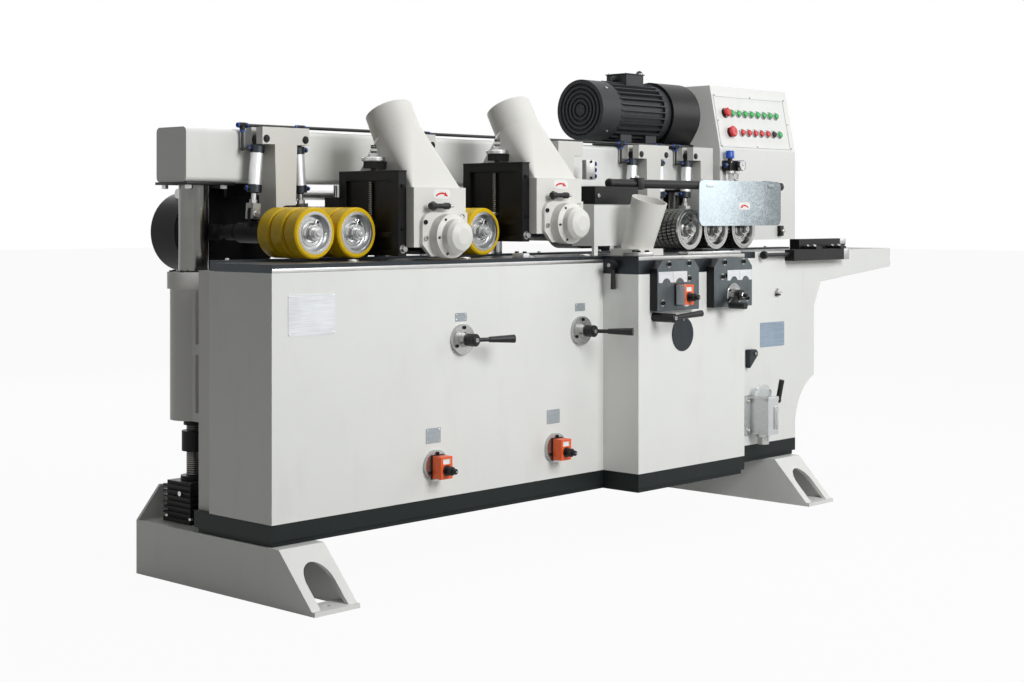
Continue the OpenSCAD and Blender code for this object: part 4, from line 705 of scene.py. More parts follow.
def floor_finish(shade):
    """Pale floor that keeps the shadows and fades to white where it is seen."""
    finish = Finish("floor", {"Roughness": 0.85, "Specular IOR Level": 0.1})
    finish.put({"Base Color": finish.noise(1.5).mix(rgba(shade, 0.99), rgba(shade, 1.01))})
    wire = finish.wire
    glow = wire.node("ShaderNodeEmission", None, {"Color": WHITE})
    lit = Wire(wire.tree, finish.shader.outputs[0])
    blend = wire.node("ShaderNodeMixShader", None, {0: seen(wire) * FLOOR_WHITE, 1: lit, 2: glow})
    wire.tree.links.new(blend.socket, wire.tree.nodes["Material Output"].inputs["Surface"])
    return finish.material


def light_world(scene):
    """White where it is seen, and a softer even light where it falls on the machine."""
    world = bpy.data.worlds.new("studio")
    world.use_nodes = True
    scene.world = world
    tree = world.node_tree
    strength = WORLD_FILL + seen(Wire(tree)) * (1 - WORLD_FILL)
    back = tree.nodes["Background"]
    back.inputs["Color"].default_value = WHITE
    tree.links.new(strength.socket, back.inputs["Strength"])


HOSE_FOOT = (2424.0, 301.0, 1027.5)
HOSE_RADIUS = 2.25
COIL_RADIUS = 18.0
COIL_TURNS = 7
COIL_PITCH = 8.5
COIL_LEAD = 4.5
TURN_STEPS = 16
# The swing out to the first turn, as shares of the coil's radius
LEAD_SWAY = 0.15
LEAD_RISE = 0.9
LEAD_STEPS = 5


def lead_in(t):
    """A point of the swing from the coil's axis out to its first turn."""
    quarter = math.pi / 2 * t
    return Vector((
        COIL_RADIUS * math.sin(quarter),
        -COIL_RADIUS * LEAD_SWAY * math.sin(2 * quarter),
        COIL_LEAD + COIL_RADIUS * (1 - math.cos(quarter)) * LEAD_RISE,
    ))


def hose_route():
    """The coiled hose from its lower fitting up to the service unit."""
    height = 2 * (COIL_RADIUS + COIL_LEAD) + COIL_TURNS * COIL_PITCH
    swing = [lead_in(i / LEAD_STEPS) for i in range(1, LEAD_STEPS)]
    coil = []
    for step in range(COIL_TURNS * TURN_STEPS + 1):
        t = step / TURN_STEPS
        coil.append(Vector((
            COIL_RADIUS * math.cos(math.tau * t), COIL_RADIUS * math.sin(math.tau * t),
            COIL_RADIUS + COIL_LEAD + t * COIL_PITCH,
        )))
    back = [Vector((p.x, -p.y, height - p.z)) for p in reversed(swing)]
    ends = [Vector((0.0, 0.0, z)) for z in (0.0, COIL_LEAD, height - COIL_LEAD, height)]
    route = ends[:2] + swing + coil + back + ends[2:]
    return [spot(*(Vector(HOSE_FOOT) + point)) for point in route]


def length_of(route):
    return sum((b - a).length for a, b in zip(route, route[1:]))


class MOULDER_OT_air_hose(bpy.types.Operator):
    """Winds the red air hose between the service unit and its lower fitting"""

    bl_idname = "moulder.air_hose"
    bl_label = "Air hose"

    def execute(self, context):
        route = hose_route()
        curve = bpy.data.curves.new("air_hose", "CURVE")
        curve.dimensions = "3D"
        curve.bevel_depth = HOSE_RADIUS * MM
        curve.bevel_resolution = 4
        curve.use_fill_caps = True
        spline = curve.splines.new("POLY")
        spline.points.add(len(route) - 1)
        for point, place in zip(spline.points, route):
            point.co = (*place, 1.0)
        curve.materials.append(FINISHES["red_hose"])
        hose = bpy.data.objects.new("air_hose", curve)
        context.scene.collection.objects.link(hose)
        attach(hose, "frame")
        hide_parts("air_hose_coil")
        round(length_of(route), 3)
        return {"FINISHED"}


def regions(node, finishes, rule=None):
    """Gives a CAD node its finishes; the rule names one for each triangle, in machine mm."""
    mesh = NODES[node].data
    mesh.materials.clear()
    for finish in finishes:
        mesh.materials.append(FINISHES[finish])
    index = np.zeros(len(mesh.polygons), dtype=np.int32)
    if rule:
        places = np.empty(len(mesh.vertices) * 3)
        mesh.vertices.foreach_get("co", places)
        corners = np.empty(len(mesh.loops), dtype=np.int32)
        mesh.loops.foreach_get("vertex_index", corners)
        triangles = places.reshape(-1, 3)[corners].reshape(-1, 3, 3) / MM + np.array(ORIGIN)
        facings = np.empty(len(mesh.polygons) * 3)
        mesh.polygons.foreach_get("normal", facings)
        for number, mask in rule(triangles, facings.reshape(-1, 3)):
            index[mask] = number
    mesh.polygons.foreach_set("material_index", index)
    mesh.update()


def radii(t, x, z):
    """Distance of each triangle's corners from an axis along Y."""
    return np.hypot(t[:, :, X] - x, t[:, :, Z] - z)


def lowest(t, axis):
    return t[:, :, axis].min(axis=1)


def highest(t, axis):
    return t[:, :, axis].max(axis=1)


def centre(t, axis):
    return t[:, :, axis].mean(axis=1)


PLAIN = {
    "white": ("base_feet", "cabinet_shell", "feed_beam"),
    "plinth": ("base_plinth",),
    "cast": ("column_castings", "roller_brackets"),
    "black": ("guard_rail", "belt_guard", "infeed_guide"),
    "rough_black": ("gear_reducers", *(f"roller_arm_{i + 1}" for i in range(len(AXLES)))),
    "motor": ("spindle_motors",),
    "blackened": ("fence_bars",),
    "steel": (
        "feed_shaft", "cylinder_rods_left", "cylinder_rods_right", "top_spindle_1", "top_spindle_2",
        "side_spindle_1", "side_spindle_2", "bottom_spindle",
    ),
    "zinc": ("guard_flap",),
    "red": ("emergency_stops",),
    "knob": ("hand_crank", "clamp_lever_1", "clamp_lever_2", "clamp_lever_3", "clamp_lever_4"),
    "hose": ("air_lines",),
    "red_hose": ("air_hose_coil",),
}

# A rule's limits lie this far off the faces that they tell apart
SLACK = 0.5
# How much of a face's normal lies along the axis that it looks along, loosely and strictly
FACING = 0.7
LEVEL = 0.9
SQUARE_ON = 0.99

TYRE_BORE = 58.02
TOOTH_ROOT = 60
TEETH_FROM = 125


def tyre_rule(x):
    """Yellow tyres on a bright hub, and a black bearing barrel behind."""
    return lambda t, n: [
        (1, radii(t, x, AXLE_Z).min(axis=1) > TYRE_BORE), (2, lowest(t, Y) > ROLLER_BACK + SLACK)
    ]


def tooth_rule(x):
    """Dark teeth on a turned hub, and a black bearing barrel behind."""
    return lambda t, n: [
        (1, (radii(t, x, AXLE_Z).min(axis=1) > TOOTH_ROOT + SLACK) & (lowest(t, Y) > TEETH_FROM - SLACK)),
        (2, lowest(t, Y) > ROLLER_BACK + SLACK),
    ]


SHAFT_REACH = 9.5
SHAFT_ROOT = 1.5
# Half the window's width and height, how far up it is and how deep it is sunk
WINDOW = (14.2, 7.2, 15, 5)


def counter_rule(t, n):
    """Black shafts, pale windows, and a bare left side on the counter of the front block."""
    shaft = np.zeros(len(t), dtype=bool)
    window = np.zeros(len(t), dtype=bool)
    wide, tall, up, sunk = WINDOW
    for x, z, back in COUNTER_PLACES:
        front = back - COUNTER_DEEP
        core = radii(t, x, z - SHAFT_DROP).max(axis=1) < SHAFT_REACH
        shaft |= core & (highest(t, Y) < front + SHAFT_ROOT)
        near = (abs(t[:, :, X] - x).max(axis=1) < wide) & (abs(t[:, :, Z] - z - up).max(axis=1) < tall)
        window |= near & (lowest(t, Y) > front - SLACK) & (highest(t, Y) < front + sunk)
    return [(3, (n[:, X] < -FACING) & (lowest(t, X) > BLOCK_FROM)), (1, shaft), (2, window)]


CRANK_COLLAR = 22.5


def plate_rule(t, n):
    """Bare clamp pins and crank collar, and black edges on the blued plates as painted shade on their
    sides.
    """
    pins = centre(t, X) < BLOCK_FROM
    collar = (radii(t, *CRANK).max(axis=1) < CRANK_COLLAR) & (centre(t, Y) < PLATE_FRONT - SLACK)
    # The black on every face not looking to the front is painted shade
    edge = ~pins & (n[:, Y] > -FACING) & ~collar
    return [(1, pins | collar), (2, edge)]


# A setting disc's ear, from its hood's spindle
EAR_IN = 88
EAR_UP = 190


def hood_rule(head):
    """The motor behind the hood is dark, and so is the ear its setting disc stands on."""
    x, z = HEADS[head]

    def rule(t, n):
        ear = (highest(t, X) < x - EAR_IN) & (lowest(t, Z) > z + EAR_UP - SLACK)
        return [(1, centre(t, Y) > HOOD_BACK + SLACK), (2, ear)]

    return rule


ROD_REACH = 12


def shoe_rule(head):
    """The setting disc is bright and the rod through it is threaded."""
    x, z = HEADS[head]
    along, deep = SHOE_ROD
    return lambda t, n: [
        (1, lowest(t, Z) > z + SHOE_TOP - SLACK),
        (2, np.hypot(t[:, :, X] - x - along, t[:, :, Y] - deep).max(axis=1) < ROD_REACH),
    ]


BARREL_SPAN = (1082, 1174.5)
PIN_FROM = 1205
PIN_ENDS_FROM = 1194


def cylinder_rule(t, n):
    """Bare barrels between dark caps, and black pins at the top."""
    z = centre(t, Z)
    flat = abs(n[:, Y])
    barrel = (z > BARREL_SPAN[0]) & (z < BARREL_SPAN[1])
    pin = (z > PIN_FROM) & (flat < SQUARE_ON) | (z > PIN_ENDS_FROM) & (flat > SQUARE_ON)
    return [(1, barrel), (2, pin)]


CROSS_SHAFT = (170, 2222)


def gearbox_rule(t, n):
    """The shaft between the gearboxes is bright."""
    x = centre(t, X)
    return [(1, (x > CROSS_SHAFT[0]) & (x < CROSS_SHAFT[1]))]


def table_rule(t, n):
    """The outfeed table's front and left faces are blackened."""
    return [(1, n[:, :2].min(axis=1) < -FACING)]


def infeed_rule(t, n):
    """Only the infeed table's top is ground."""
    return [(1, (n[:, Z] > LEVEL) & (lowest(t, Z) > TABLE_Z - SLACK))]


def bed_rule(t, n):
    """The head guides that stand on the bed are chromed."""
    return [(1, highest(t, Z) > CABINET_TOP + SLACK)]


# Along the panel, across a row and out of the panel, where the button bezels lie
BEZEL_SPAN = (44, 424)
BEZEL_REACH = 15
BEZEL_OUT = 0.4


def console_rule(t, n):
    """The button bezels stand out of the sloped panel."""
    place = t.mean(axis=1) - np.array(PANEL)
    out = place @ np.array(PANEL_OUT)
    up = place @ np.array(PANEL_UP)
    rows = (abs(up - ROWS[0]) < BEZEL_REACH) | (abs(up - ROWS[1]) < BEZEL_REACH)
    along = (place[:, X] > BEZEL_SPAN[0]) & (place[:, X] < BEZEL_SPAN[1])
    return [(1, rows & along & (out > BEZEL_OUT))]


LOWER_ROW_TOP = 1345
RED_TO = 2697
BLACK_TO = 2738


def button_rule(t, n):
    """The lower row has red buttons, then a black one, then a green one."""
    low = centre(t, Z) < LOWER_ROW_TOP
    x = centre(t, X)
    return [(2, low & (x < BLACK_TO)), (1, low & (x < RED_TO))]


COWL_TO = 1756


def motor_rule(t, n):
    """The fan end of the feed motor is perforated."""
    return [(1, (centre(t, X) < COWL_TO) & (abs(n[:, X]) > FACING))]


def pump_rule(t, n):
    """A clear lid above the pump's body and a bare foot below it."""
    low, high = PUMP[3:]
    return [(1, centre(t, Z) > high + SLACK), (2, centre(t, Z) < low - 2 * SLACK)]


UNIT_KNOB_UP = 45
UNIT_FOOT_TOP = 1060


def unit_rule(t, n):
    """A blue knob above, clear bowls below, and the hose's bare lower fitting."""
    z = centre(t, Z)
    return [(1, z > UNIT[2] + UNIT_KNOB_UP), (2, z < UNIT[2] - SLACK), (3, z < UNIT_FOOT_TOP)]


LIFT_SCREW_TOP = 440
LIFT_SCREW_RADIUS = 20


def post_rule(t, n):
    """Under each post its lifting screw is bare, and the screw's nut and collar are black."""
    low = highest(t, Z) < LIFT_SCREW_TOP + SLACK
    left, right = POSTS
    off = abs(t[:, :, X] - (left + right) / 2) - (right - left) / 2
    reach = np.hypot(off, t[:, :, Y] - POST_Y).max(axis=1)
    return [(1, low), (2, low & (reach > LIFT_SCREW_RADIUS + SLACK))]


GUARD_BOX_FROM = 56
LEVER_GRIP_FROM = 353


def side_rule(t, n):
    """The guard box beside the side hood has the cabinet's paint."""
    return [(1, lowest(t, Y) > GUARD_BOX_FROM)]


def lever_rule(t, n):
    """The pump lever has a black grip."""
    return [(1, centre(t, Z) > LEVER_GRIP_FROM)]


RULED = {
    "position_counters": (("orange", "knob", "dial", "barrel"), counter_rule),
    "guide_posts": (("post", "screw", "rough_black"), post_rule),
    "side_hood": (("cast", "white"), side_rule),
    "oil_lever": (("steel", "knob"), lever_rule),
    "control_plates": (("blued", "steel", "black"), plate_rule),
    "top_hood_1": (("cast", "motor", "black"), hood_rule(0)),
    "top_hood_2": (("cast", "motor", "black"), hood_rule(1)),
    "pressure_shoe_1": (("black", "steel", "screw"), shoe_rule(0)),
    "pressure_shoe_2": (("black", "steel", "screw"), shoe_rule(1)),
    "air_cylinders": (("blackened", "barrel", "knob"), cylinder_rule),
    "lift_gearboxes": (("rough_black", "steel"), gearbox_rule),
    "outfeed_table": (("ground", "blackened"), table_rule),
    "infeed_table": (("white", "ground"), infeed_rule),
    "bed_casting": (("cast", "chrome"), bed_rule),
    "console_cabinet": (("white", "chrome"), console_rule),
    "push_buttons": (("green", "red", "knob"), button_rule),
    "feed_motor": (("motor", "cowl"), motor_rule),
    "oil_pump": (("hub", "glass", "edge"), pump_rule),
    "air_service_unit": (("knob", "blue", "glass", "steel"), unit_rule),
}


class MOULDER_OT_finishes(bpy.types.Operator):
    """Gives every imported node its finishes"""

    bl_idname = "moulder.finishes"
    bl_label = "Finishes"

    def execute(self, context):
        for finish, nodes in PLAIN.items():
            for node in nodes:
                regions(node, (finish,))
        for node, (finishes, rule) in RULED.items():
            regions(node, finishes, rule)
        for i, x in enumerate(AXLES):
            if i < TOOTHED_FROM:
                regions(f"feed_roller_{i + 1}", ("hub", "tyre", "rough_black"), tyre_rule(x))
            else:
                regions(f"feed_roller_{i + 1}", ("turned", "tooth", "rough_black"), tooth_rule(x))
        return {"FINISHED"}


HUB_DISH = 135
# Radius of the collar on a tyred and on a toothed roller
COLLARS = (50, 54)
LUG_TURN = math.radians(62)


class MOULDER_OT_roller_hubs(bpy.types.Operator):
    """Fits a shaft end, a collar and a clamping lug to each feed roller"""

    bl_idname = "moulder.roller_hubs"
    bl_label = "Roller hubs"

    def execute(self, context):
        for i, x in enumerate(AXLES):
            piece = Piece("turned", "steel", "knob")
            dish = spot(x, HUB_DISH, AXLE_Z)
            collar = COLLARS[i >= TOOTHED_FROM]
            piece.turned([(0, 33), (2.5, 36), (9.5, 36), (11, 34.5), (11, 31)], dish, FRONT, 1)
            piece.turned([(15, 22), (21, 22), (22.5, 20.5), (22.5, 6), (27, 1.5), (27, -1)], dish, FRONT)
            piece.turned([(33, -1), (33.5, 3), (37, 3), (38, -1)], dish, FRONT, 0, 48)
            piece.turned(
                [(collar - 1, 17), (collar + 0.5, 19), (collar + 6.5, 19), (collar + 7.5, 17)],
                dish, FRONT, 1, 64,
            )
            lug = facing(dish, FRONT) @ Matrix.Rotation(LUG_TURN, 4, "Z")
            piece.block((20, -6, -1), (40, 6, 9), 1.5, 0, lug)
            piece.screw(lug @ (Vector((33, 0, 9)) * MM), lug.to_3x3() @ UP, 0.6, 2)
            piece.done(f"roller_hub_{i + 1}", f"roller_{i + 1}", "bright_steel")
        return {"FINISHED"}


# Screws on a bearing plate, from its spindle: along, up, finish and size
PLATE_SCREWS = ((-78, 39, 0, 1), (66, 54, 0, 1), (-77, -6, 1, 1.1), (74, -18, 0, 1))
BEARING_PLATE = -2
# Screws on the bearing's cap: their turns, reach and depth
CAP_TURNS = (4, 124, 184, 244)
CAP_REACH = 55
CAP_FRONT = -34.5
GRIP = [
    (0, 0), (8.5, 0), (10, 2), (10, 20), (7, 24), (7, 52), (9.5, 56), (9.5, 72), (6.5, 76), (0, 76),
]
GRIP_UP = 84
GRIP_POST = -38
ARROW_UP = 118
NIPPLE_LEAN = Vector((0.62, -0.25, 0.74))


class MOULDER_OT_hood_fittings(bpy.types.Operator):
    """Fits the grip, screws, oil nipple and turning arrow to each cutter hood"""

    bl_idname = "moulder.hood_fittings"
    bl_label = "Hood fittings"

    def execute(self, context):
        for i, (x, z) in enumerate(HEADS):
            piece = Piece("knob", "steel", "red", "dial", "cast")
            grip = spot(x - 71, HOOD_FRONT - 24, z + GRIP_UP)
            piece.turned(GRIP, grip, RIGHT, 0, 20)
            piece.turned([(5, 74), (5, 88), (3.5, 91), (0, 91)], grip, RIGHT, 1, 16)
            post = spot(x + GRIP_POST, HOOD_FRONT, z + GRIP_UP)
            piece.turned([(7, -1), (7, 26)], post, FRONT, 0, 16)
            piece.turned(washer(13, 2.5, 7), post, FRONT)
            for along, up, finish, size in PLATE_SCREWS:
                piece.screw(spot(x + along, BEARING_PLATE, z + up), FRONT, size, finish)
            for turn in CAP_TURNS:
                along, up = polar(CAP_REACH, turn)
                piece.screw(spot(x + along, CAP_FRONT, z + up), FRONT, 0.55)
            piece.turned(
                [(4, -6), (4, 4), (6.5, 5), (6.5, 11), (4, 14), (0, 15)],
                spot(x + 41, -18, z + 46), NIPPLE_LEAN, 4, 16,
            )
            piece.arrow(spot(x - 2, HOOD_FRONT, z + ARROW_UP), 66, 128, 72, 3, 2)
            piece.done(f"hood_fittings_{i + 1}", f"head_{i + 1}", "black_plastic")
        return {"FINISHED"}


DISC_UP = 210.4
# Nuts on the rod: up from the disc, across and thick
ROD_NUTS = ((12, 26, 11), (29, 22, 7))
STUD_IN = 10.5


class MOULDER_OT_shoe_fittings(bpy.types.Operator):
    """Fits lids, nuts, threaded rods and a clamp bolt to each pressure shoe"""

    bl_idname = "moulder.shoe_fittings"
    bl_label = "Shoe fittings"

    def execute(self, context):
        for i, (head, z) in enumerate(HEADS):
            piece = Piece("black", "steel", "screw", "turned")
            x = head + SHOE_ROD[0]
            y = SHOE_ROD[1]
            piece.block((x - 19, 36, z + SHOE_TOP), (x + 14, 288, z + SHOE_TOP + 3.4), 1)
            for up, across, thick in ROD_NUTS:
                piece.nut(spot(x, y, z + DISC_UP + up), UP, across, thick, 1)
            disc = spot(x, y, z + DISC_UP)
            piece.turned([(32, 0.4), (34, 2), (34, 10), (32, 11.6)], disc, UP, 3, 48)
            piece.turned([(6, 0), (6, 132)], spot(x - STUD_IN, y, z + 20), UP, 2, 20)
            piece.nut(spot(x - STUD_IN, y, z + 24), UP, 20, 9, 1)
            bolt = spot(x, SHOE_FRONT, z - 36)
            piece.nut(bolt, FRONT, 19, 13, 1)
            piece.turned(washer(12, 2, 6), bolt, FRONT, 1)
            for up in (20, 140):
                piece.screw(spot(x, SHOE_FRONT, z + up), FRONT, 0.9)
            piece.done(f"shoe_fittings_{i + 1}", f"shoe_{i + 1}", "black_paint")
        return {"FINISHED"}


BRACKET_FRONT = 333
PIVOT_Z = 1000
ARM_FRONT = 292
# Along a cylinder from its pivot
CAP_PORTS = (28, 140)
CAP_RINGS = (38, 130)
NECK = 150
FORK = 171
# An air fitting's body and its release ring
CAP_PORT = (
    [(6, -1), (6, 8), (4.5, 9), (4.5, 16), (0, 16)], [(6.8, 9), (6.8, 12), (4, 13)],
)
TEE_PORT = ([(8, -2), (8, 12), (6, 14), (6, 15)], [(7.4, 14), (7.4, 17.5), (5.4, 18.5)])
VALVE_PORT = (
    [(7, -1), (7, 7), (5.5, 8), (5.5, 15), (0, 15)], [(8, 9), (8, 12.5), (5, 13.5)],
)
UNIT_PORT = (
    [(6.5, 5), (6.5, 13), (5, 14), (5, 17), (0, 17)], [(7.4, 12), (7.4, 15), (4.8, 16)],
)


def down_cylinder(i):
    """Where a cylinder hangs, the way it points and the way its ports face."""
    side = SIDES[i]
    top = Vector((STEMS[i] + side * CYLINDER[0], CYLINDER[1], CYLINDER[2]))
    lean = Vector((side * math.sin(CYLINDER_LEAN), 0, -math.cos(CYLINDER_LEAN)))
    out = Vector((side * math.cos(CYLINDER_LEAN), 0, math.sin(CYLINDER_LEAN)))
    return top, lean, out


class MOULDER_OT_cylinder_fittings(bpy.types.Operator):
    """Fits ports, cap rings, pins and fork nuts to the air cylinders"""

    bl_idname = "moulder.cylinder_fittings"
    bl_label = "Cylinder fittings"

    def execute(self, context):
        beam = Piece("knob", "blue", "blackened")
        rods = {-1: Piece("steel"), 1: Piece("steel")}
        for i, side in enumerate(SIDES):
            top, lean, out = down_cylinder(i)
            for along in CAP_PORTS:
                beam.port(CAP_PORT, spot(*(top + lean * along + out * 19)), out)
            for along in CAP_RINGS:
                ring = spot(*(top + lean * along))
                beam.turned([(18.5, -1.5), (20, -1), (20, 1), (18.5, 1.5)], ring, lean, 2)
            beam.turned(rim(12.5, 3, 1.5, 1, 8.2), spot(*(top + lean * NECK)), lean, 2)
            beam.turned(
                [(0, 4), (6, 4), (7, 3), (7, 1.5), (11, 1.5), (11, -0.5)],
                spot(top.x, BRACKET_FRONT, top.z), FRONT,
            )
            rods[side].nut(spot(*(top + lean * FORK)), lean, 24, 11)
            eye = spot(STEMS[i] + side * 88, CYLINDER[1] - 17, PIVOT_Z)
            rods[side].turned(rim(10, 3), eye, FRONT, 0, 20)
        beam.done("cylinder_fittings", "beam", "black_plastic")
        rods[-1].done("fork_nuts_left", "rods_left", "bright_steel")
        rods[1].done("fork_nuts_right", "rods_right", "bright_steel")
        return {"FINISHED"}


# The main air line's depth and height, and its plugged ends
LINE = (398, 1250.4)
LINE_ENDS = ((214, -RIGHT), (2276, RIGHT))
TEE_OUT = 104
VALVE = ((1590, 312, 1118), (1634, 333, 1184))
VALVE_PORTS = (1130, 1151, 1172)
VALVE_SCREWS = (1124, 1178)
BEAM_SPAN = (30, 2347)
# The flanges between posts and beam: low, high and half their depth
FLANGE = (1082, 1090, 74)
BOLT_HALF = 54


class MOULDER_OT_beam_fittings(bpy.types.Operator):
    """Fits pivot nuts, air tees, a valve and post flanges to the beam"""

    bl_idname = "moulder.beam_fittings"
    bl_label = "Beam fittings"

    def execute(self, context):
        piece = Piece("knob", "blue", "steel", "black", "edge")
        for stem in sorted(set(STEMS)):
            piece.turned(rim(16, 3, 1, 1), spot(stem, ARM_FRONT - 2, PIVOT_Z), FRONT, 2)
            piece.nut(spot(stem, ARM_FRONT - 5, PIVOT_Z), FRONT, 24, 9, 2)
        for stem, side in zip(STEMS, SIDES):
            for axis in (RIGHT, -RIGHT, -UP):
                piece.port(TEE_PORT, spot(stem + side * TEE_OUT, *LINE), axis)
        for x, axis in LINE_ENDS:
            piece.turned([(8, -6), (8, 9), (5, 12), (0, 12)], spot(x, *LINE), axis, 0, 16)
        piece.block(*VALVE, 2, 4)
        for up in VALVE_PORTS:
            piece.port(VALVE_PORT, spot(VALVE[1][0], 322, up), RIGHT)
        for up in VALVE_SCREWS:
            piece.screw(spot(1612, VALVE[0][1], up), FRONT, 0.7, 3)
        low, high, half = FLANGE
        for x in POSTS:
            left = max(x - 78, BEAM_SPAN[0])
            right = min(x + 88, BEAM_SPAN[1])
            piece.block((left, POST_Y - half, low), (right, POST_Y + half, high), 1, 3)
            for along in (-58, 62):
                for y in (POST_Y - BOLT_HALF, POST_Y + BOLT_HALF):
                    piece.nut(spot(x + along, y, low), -UP, 20, 11, 2)
        piece.done("beam_fittings", "beam", "black_plastic")
        return {"FINISHED"}


# Bolt circles of the drive: place along it, first turn and reach
MOTOR_FLANGE = (2131, 22.5, 96)
COWL_SCREWS = (1800, 45, 106)
GUARD_COVER = (2288.4, 15, 92)
MOTOR_FEET = ((1912, 2052), 1274)
TERMINAL_BOX = ((1942, 2046), (1500, 1504), 50)
GUARD_TOP = ((2162, 2258), 500, 1481.6)
REDUCER_BACK = 715
# Reach of the bolts on each reducer's cover
REDUCERS = (92, 92, 54, 54, 54)


class MOULDER_OT_drive_fittings(bpy.types.Operator):
    """Fits bolts, a cable gland and covers to the feed motor, its guard and the reducers"""

    bl_idname = "moulder.drive_fittings"
    bl_label = "Drive fittings"

    def execute(self, context):
        piece = Piece("motor", "steel", "knob")
        y, z = MOTOR_AXIS
        x, first, reach = MOTOR_FLANGE
        for across, up in around(8, first, reach):
            piece.nut(spot(x, y + across, z + up), -RIGHT, 16, 9, 1)
        x, first, reach = COWL_SCREWS
        for across, up in around(4, first, reach):
            piece.screw(spot(x, y + across, z + up), Vector((0, across, up)), 0.8, 1)
        (left, right), (low, high), half = TERMINAL_BOX
        piece.block((left, y - half, low), (right, y + half, high), 1.5)
        for x in (left + 10, right - 10):
            for across in (10 - half, half - 10):
                piece.screw(spot(x, y + across, high), UP, 0.7, 1)
        piece.turned(
            [(12, -1), (12, 6), (10, 7), (10, 18), (7, 21), (0, 21)],
            spot(left + 4, y, low - 16), -RIGHT, 2, 24,
        )
        for x in MOTOR_FEET[0]:
            for across in (-BOLT_HALF, BOLT_HALF):
                piece.nut(spot(x, y + across, MOTOR_FEET[1]), UP, 18, 10, 1)
        for x in GUARD_TOP[0]:
            piece.screw(spot(x, *GUARD_TOP[1:]), UP, 0.9, 1)
        x, first, reach = GUARD_COVER
        for across, up in around(6, first, reach):
            piece.screw(spot(x, y + across, z + up), RIGHT, 0.8, 1)
        for x, reach in zip(AXLES, REDUCERS):
            for along, up in around(6, 30, reach):
                piece.nut(spot(x + along, REDUCER_BACK, AXLE_Z + up), BACK, 15, 8, 1)
        piece.done("drive_fittings", "beam", "motor_paint")
        return {"FINISHED"}


GAUGE_FACE = 21.3
# The gauge's marks, by first turn, step and count, and the turn of its hand, in degrees
MARKS = (225, -33.75, 9)
HAND_TURN = 118
# The unit's two bowls: along from its middle, and radius
BOWLS = ((-12, 14), (24, 11))
HOSE_TAIL = [(2.4, 7), (5, 6), (6.5, 4), (6.5, -0.5)]


class MOULDER_OT_service_unit(bpy.types.Operator):
    """Fits the gauge, knob, collars and ports to the air service unit"""

    bl_idname = "moulder.service_unit"
    bl_label = "Service unit"

    def execute(self, context):
        piece = Piece("knob", "blue", "chrome", "dial", "steel")
        x, y, z = UNIT
        gauge = spot(x + 22, y - 13, z + 20)
        piece.turned([(16.5, 21.2), (19, 22.4), (20.4, 20.5), (20.4, 9), (19, 8)], gauge, FRONT, 2)
        piece.turned([(0, GAUGE_FACE), (17, GAUGE_FACE)], gauge, FRONT, 3)
        face = flat_on(gauge, FRONT) @ Matrix.Translation((0, 0, GAUGE_FACE * MM))
        first, step, count = MARKS
        for i in range(count):
            mark = face @ Matrix.Rotation(math.radians(first + step * i), 4, "Z")
            piece.block((12, -0.45, 0), (15.5, 0.45, 0.2), 0, 0, mark)
        hand = face @ Matrix.Rotation(math.radians(HAND_TURN), 4, "Z")
        piece.block((-4, -0.6, 0.2), (12.5, 0.6, 0.5), 0, 0, hand)
        piece.turned([(2.2, 0), (2.2, 1), (0, 1)], face @ Vector(), FRONT, 0, 12)
        regulator, oiler = BOWLS
        piece.turned(
            [(14.5, 1), (16.4, 3), (16.4, 22), (14, 27), (12, 28.6), (0, 29)],
            spot(x + regulator[0], y, z + 46), UP, 1, 20,
        )
        for along, radius in BOWLS:
            piece.turned(
                [(radius + 0.3, -10), (radius + 2.2, -9), (radius + 2.2, 0.5)],
                spot(x + along, y, z), UP, 4, 24,
            )
        drain = spot(x + regulator[0], y, z - 44)
        piece.turned([(4, -0.5), (4, 5), (2, 7), (0, 7)], drain, -UP, 0, 12)
        for place, axis in ((spot(x - 30, y, z + 20), -RIGHT), (spot(x + 42, y + 6, z + 20), RIGHT)):
            piece.nut(place, axis, 17, 6, 4)
            piece.port(UNIT_PORT, place, axis)
        for along in (-24, 36):
            piece.screw(spot(x + along, y - 14, z + 32), FRONT, 0.5, 4)
        piece.turned(HOSE_TAIL, spot(x + oiler[0], y, HOSE_FOOT[2]), UP, 4, 16)
        piece.turned(HOSE_TAIL, spot(x + oiler[0], y, z - 30), -UP, 4, 16)
        piece.done("service_unit_fittings", "frame", "black_plastic")
        return {"FINISHED"}


FIRST_U = 108
ROW_SHIFT = 47
BUTTON_PITCH = 41
UPPER_COUNT = 8
STOPS = ((66, ROWS[0]), (82, ROWS[1]))
PANEL_FRAME = (10, 468, 8, 208)
FRAME_HALF = 4
BUTTON_TOP = 10.4
# Green, red or black, along the lower row
LOWER_SHADES = (1, 1, 1, 1, 1, 2, 0)
LATCH_BOX = ((2728, 311, 918), (2754, 325, 958))


def button_spots():
    """Each push button's place on the panel, and whether it is green, red or black."""
    upper = [(FIRST_U + i * BUTTON_PITCH, ROWS[0], 0) for i in range(UPPER_COUNT)]
    lower = [
        (FIRST_U + ROW_SHIFT + i * BUTTON_PITCH, ROWS[1], shade) for i, shade in enumerate(LOWER_SHADES)
    ]
    return upper + lower


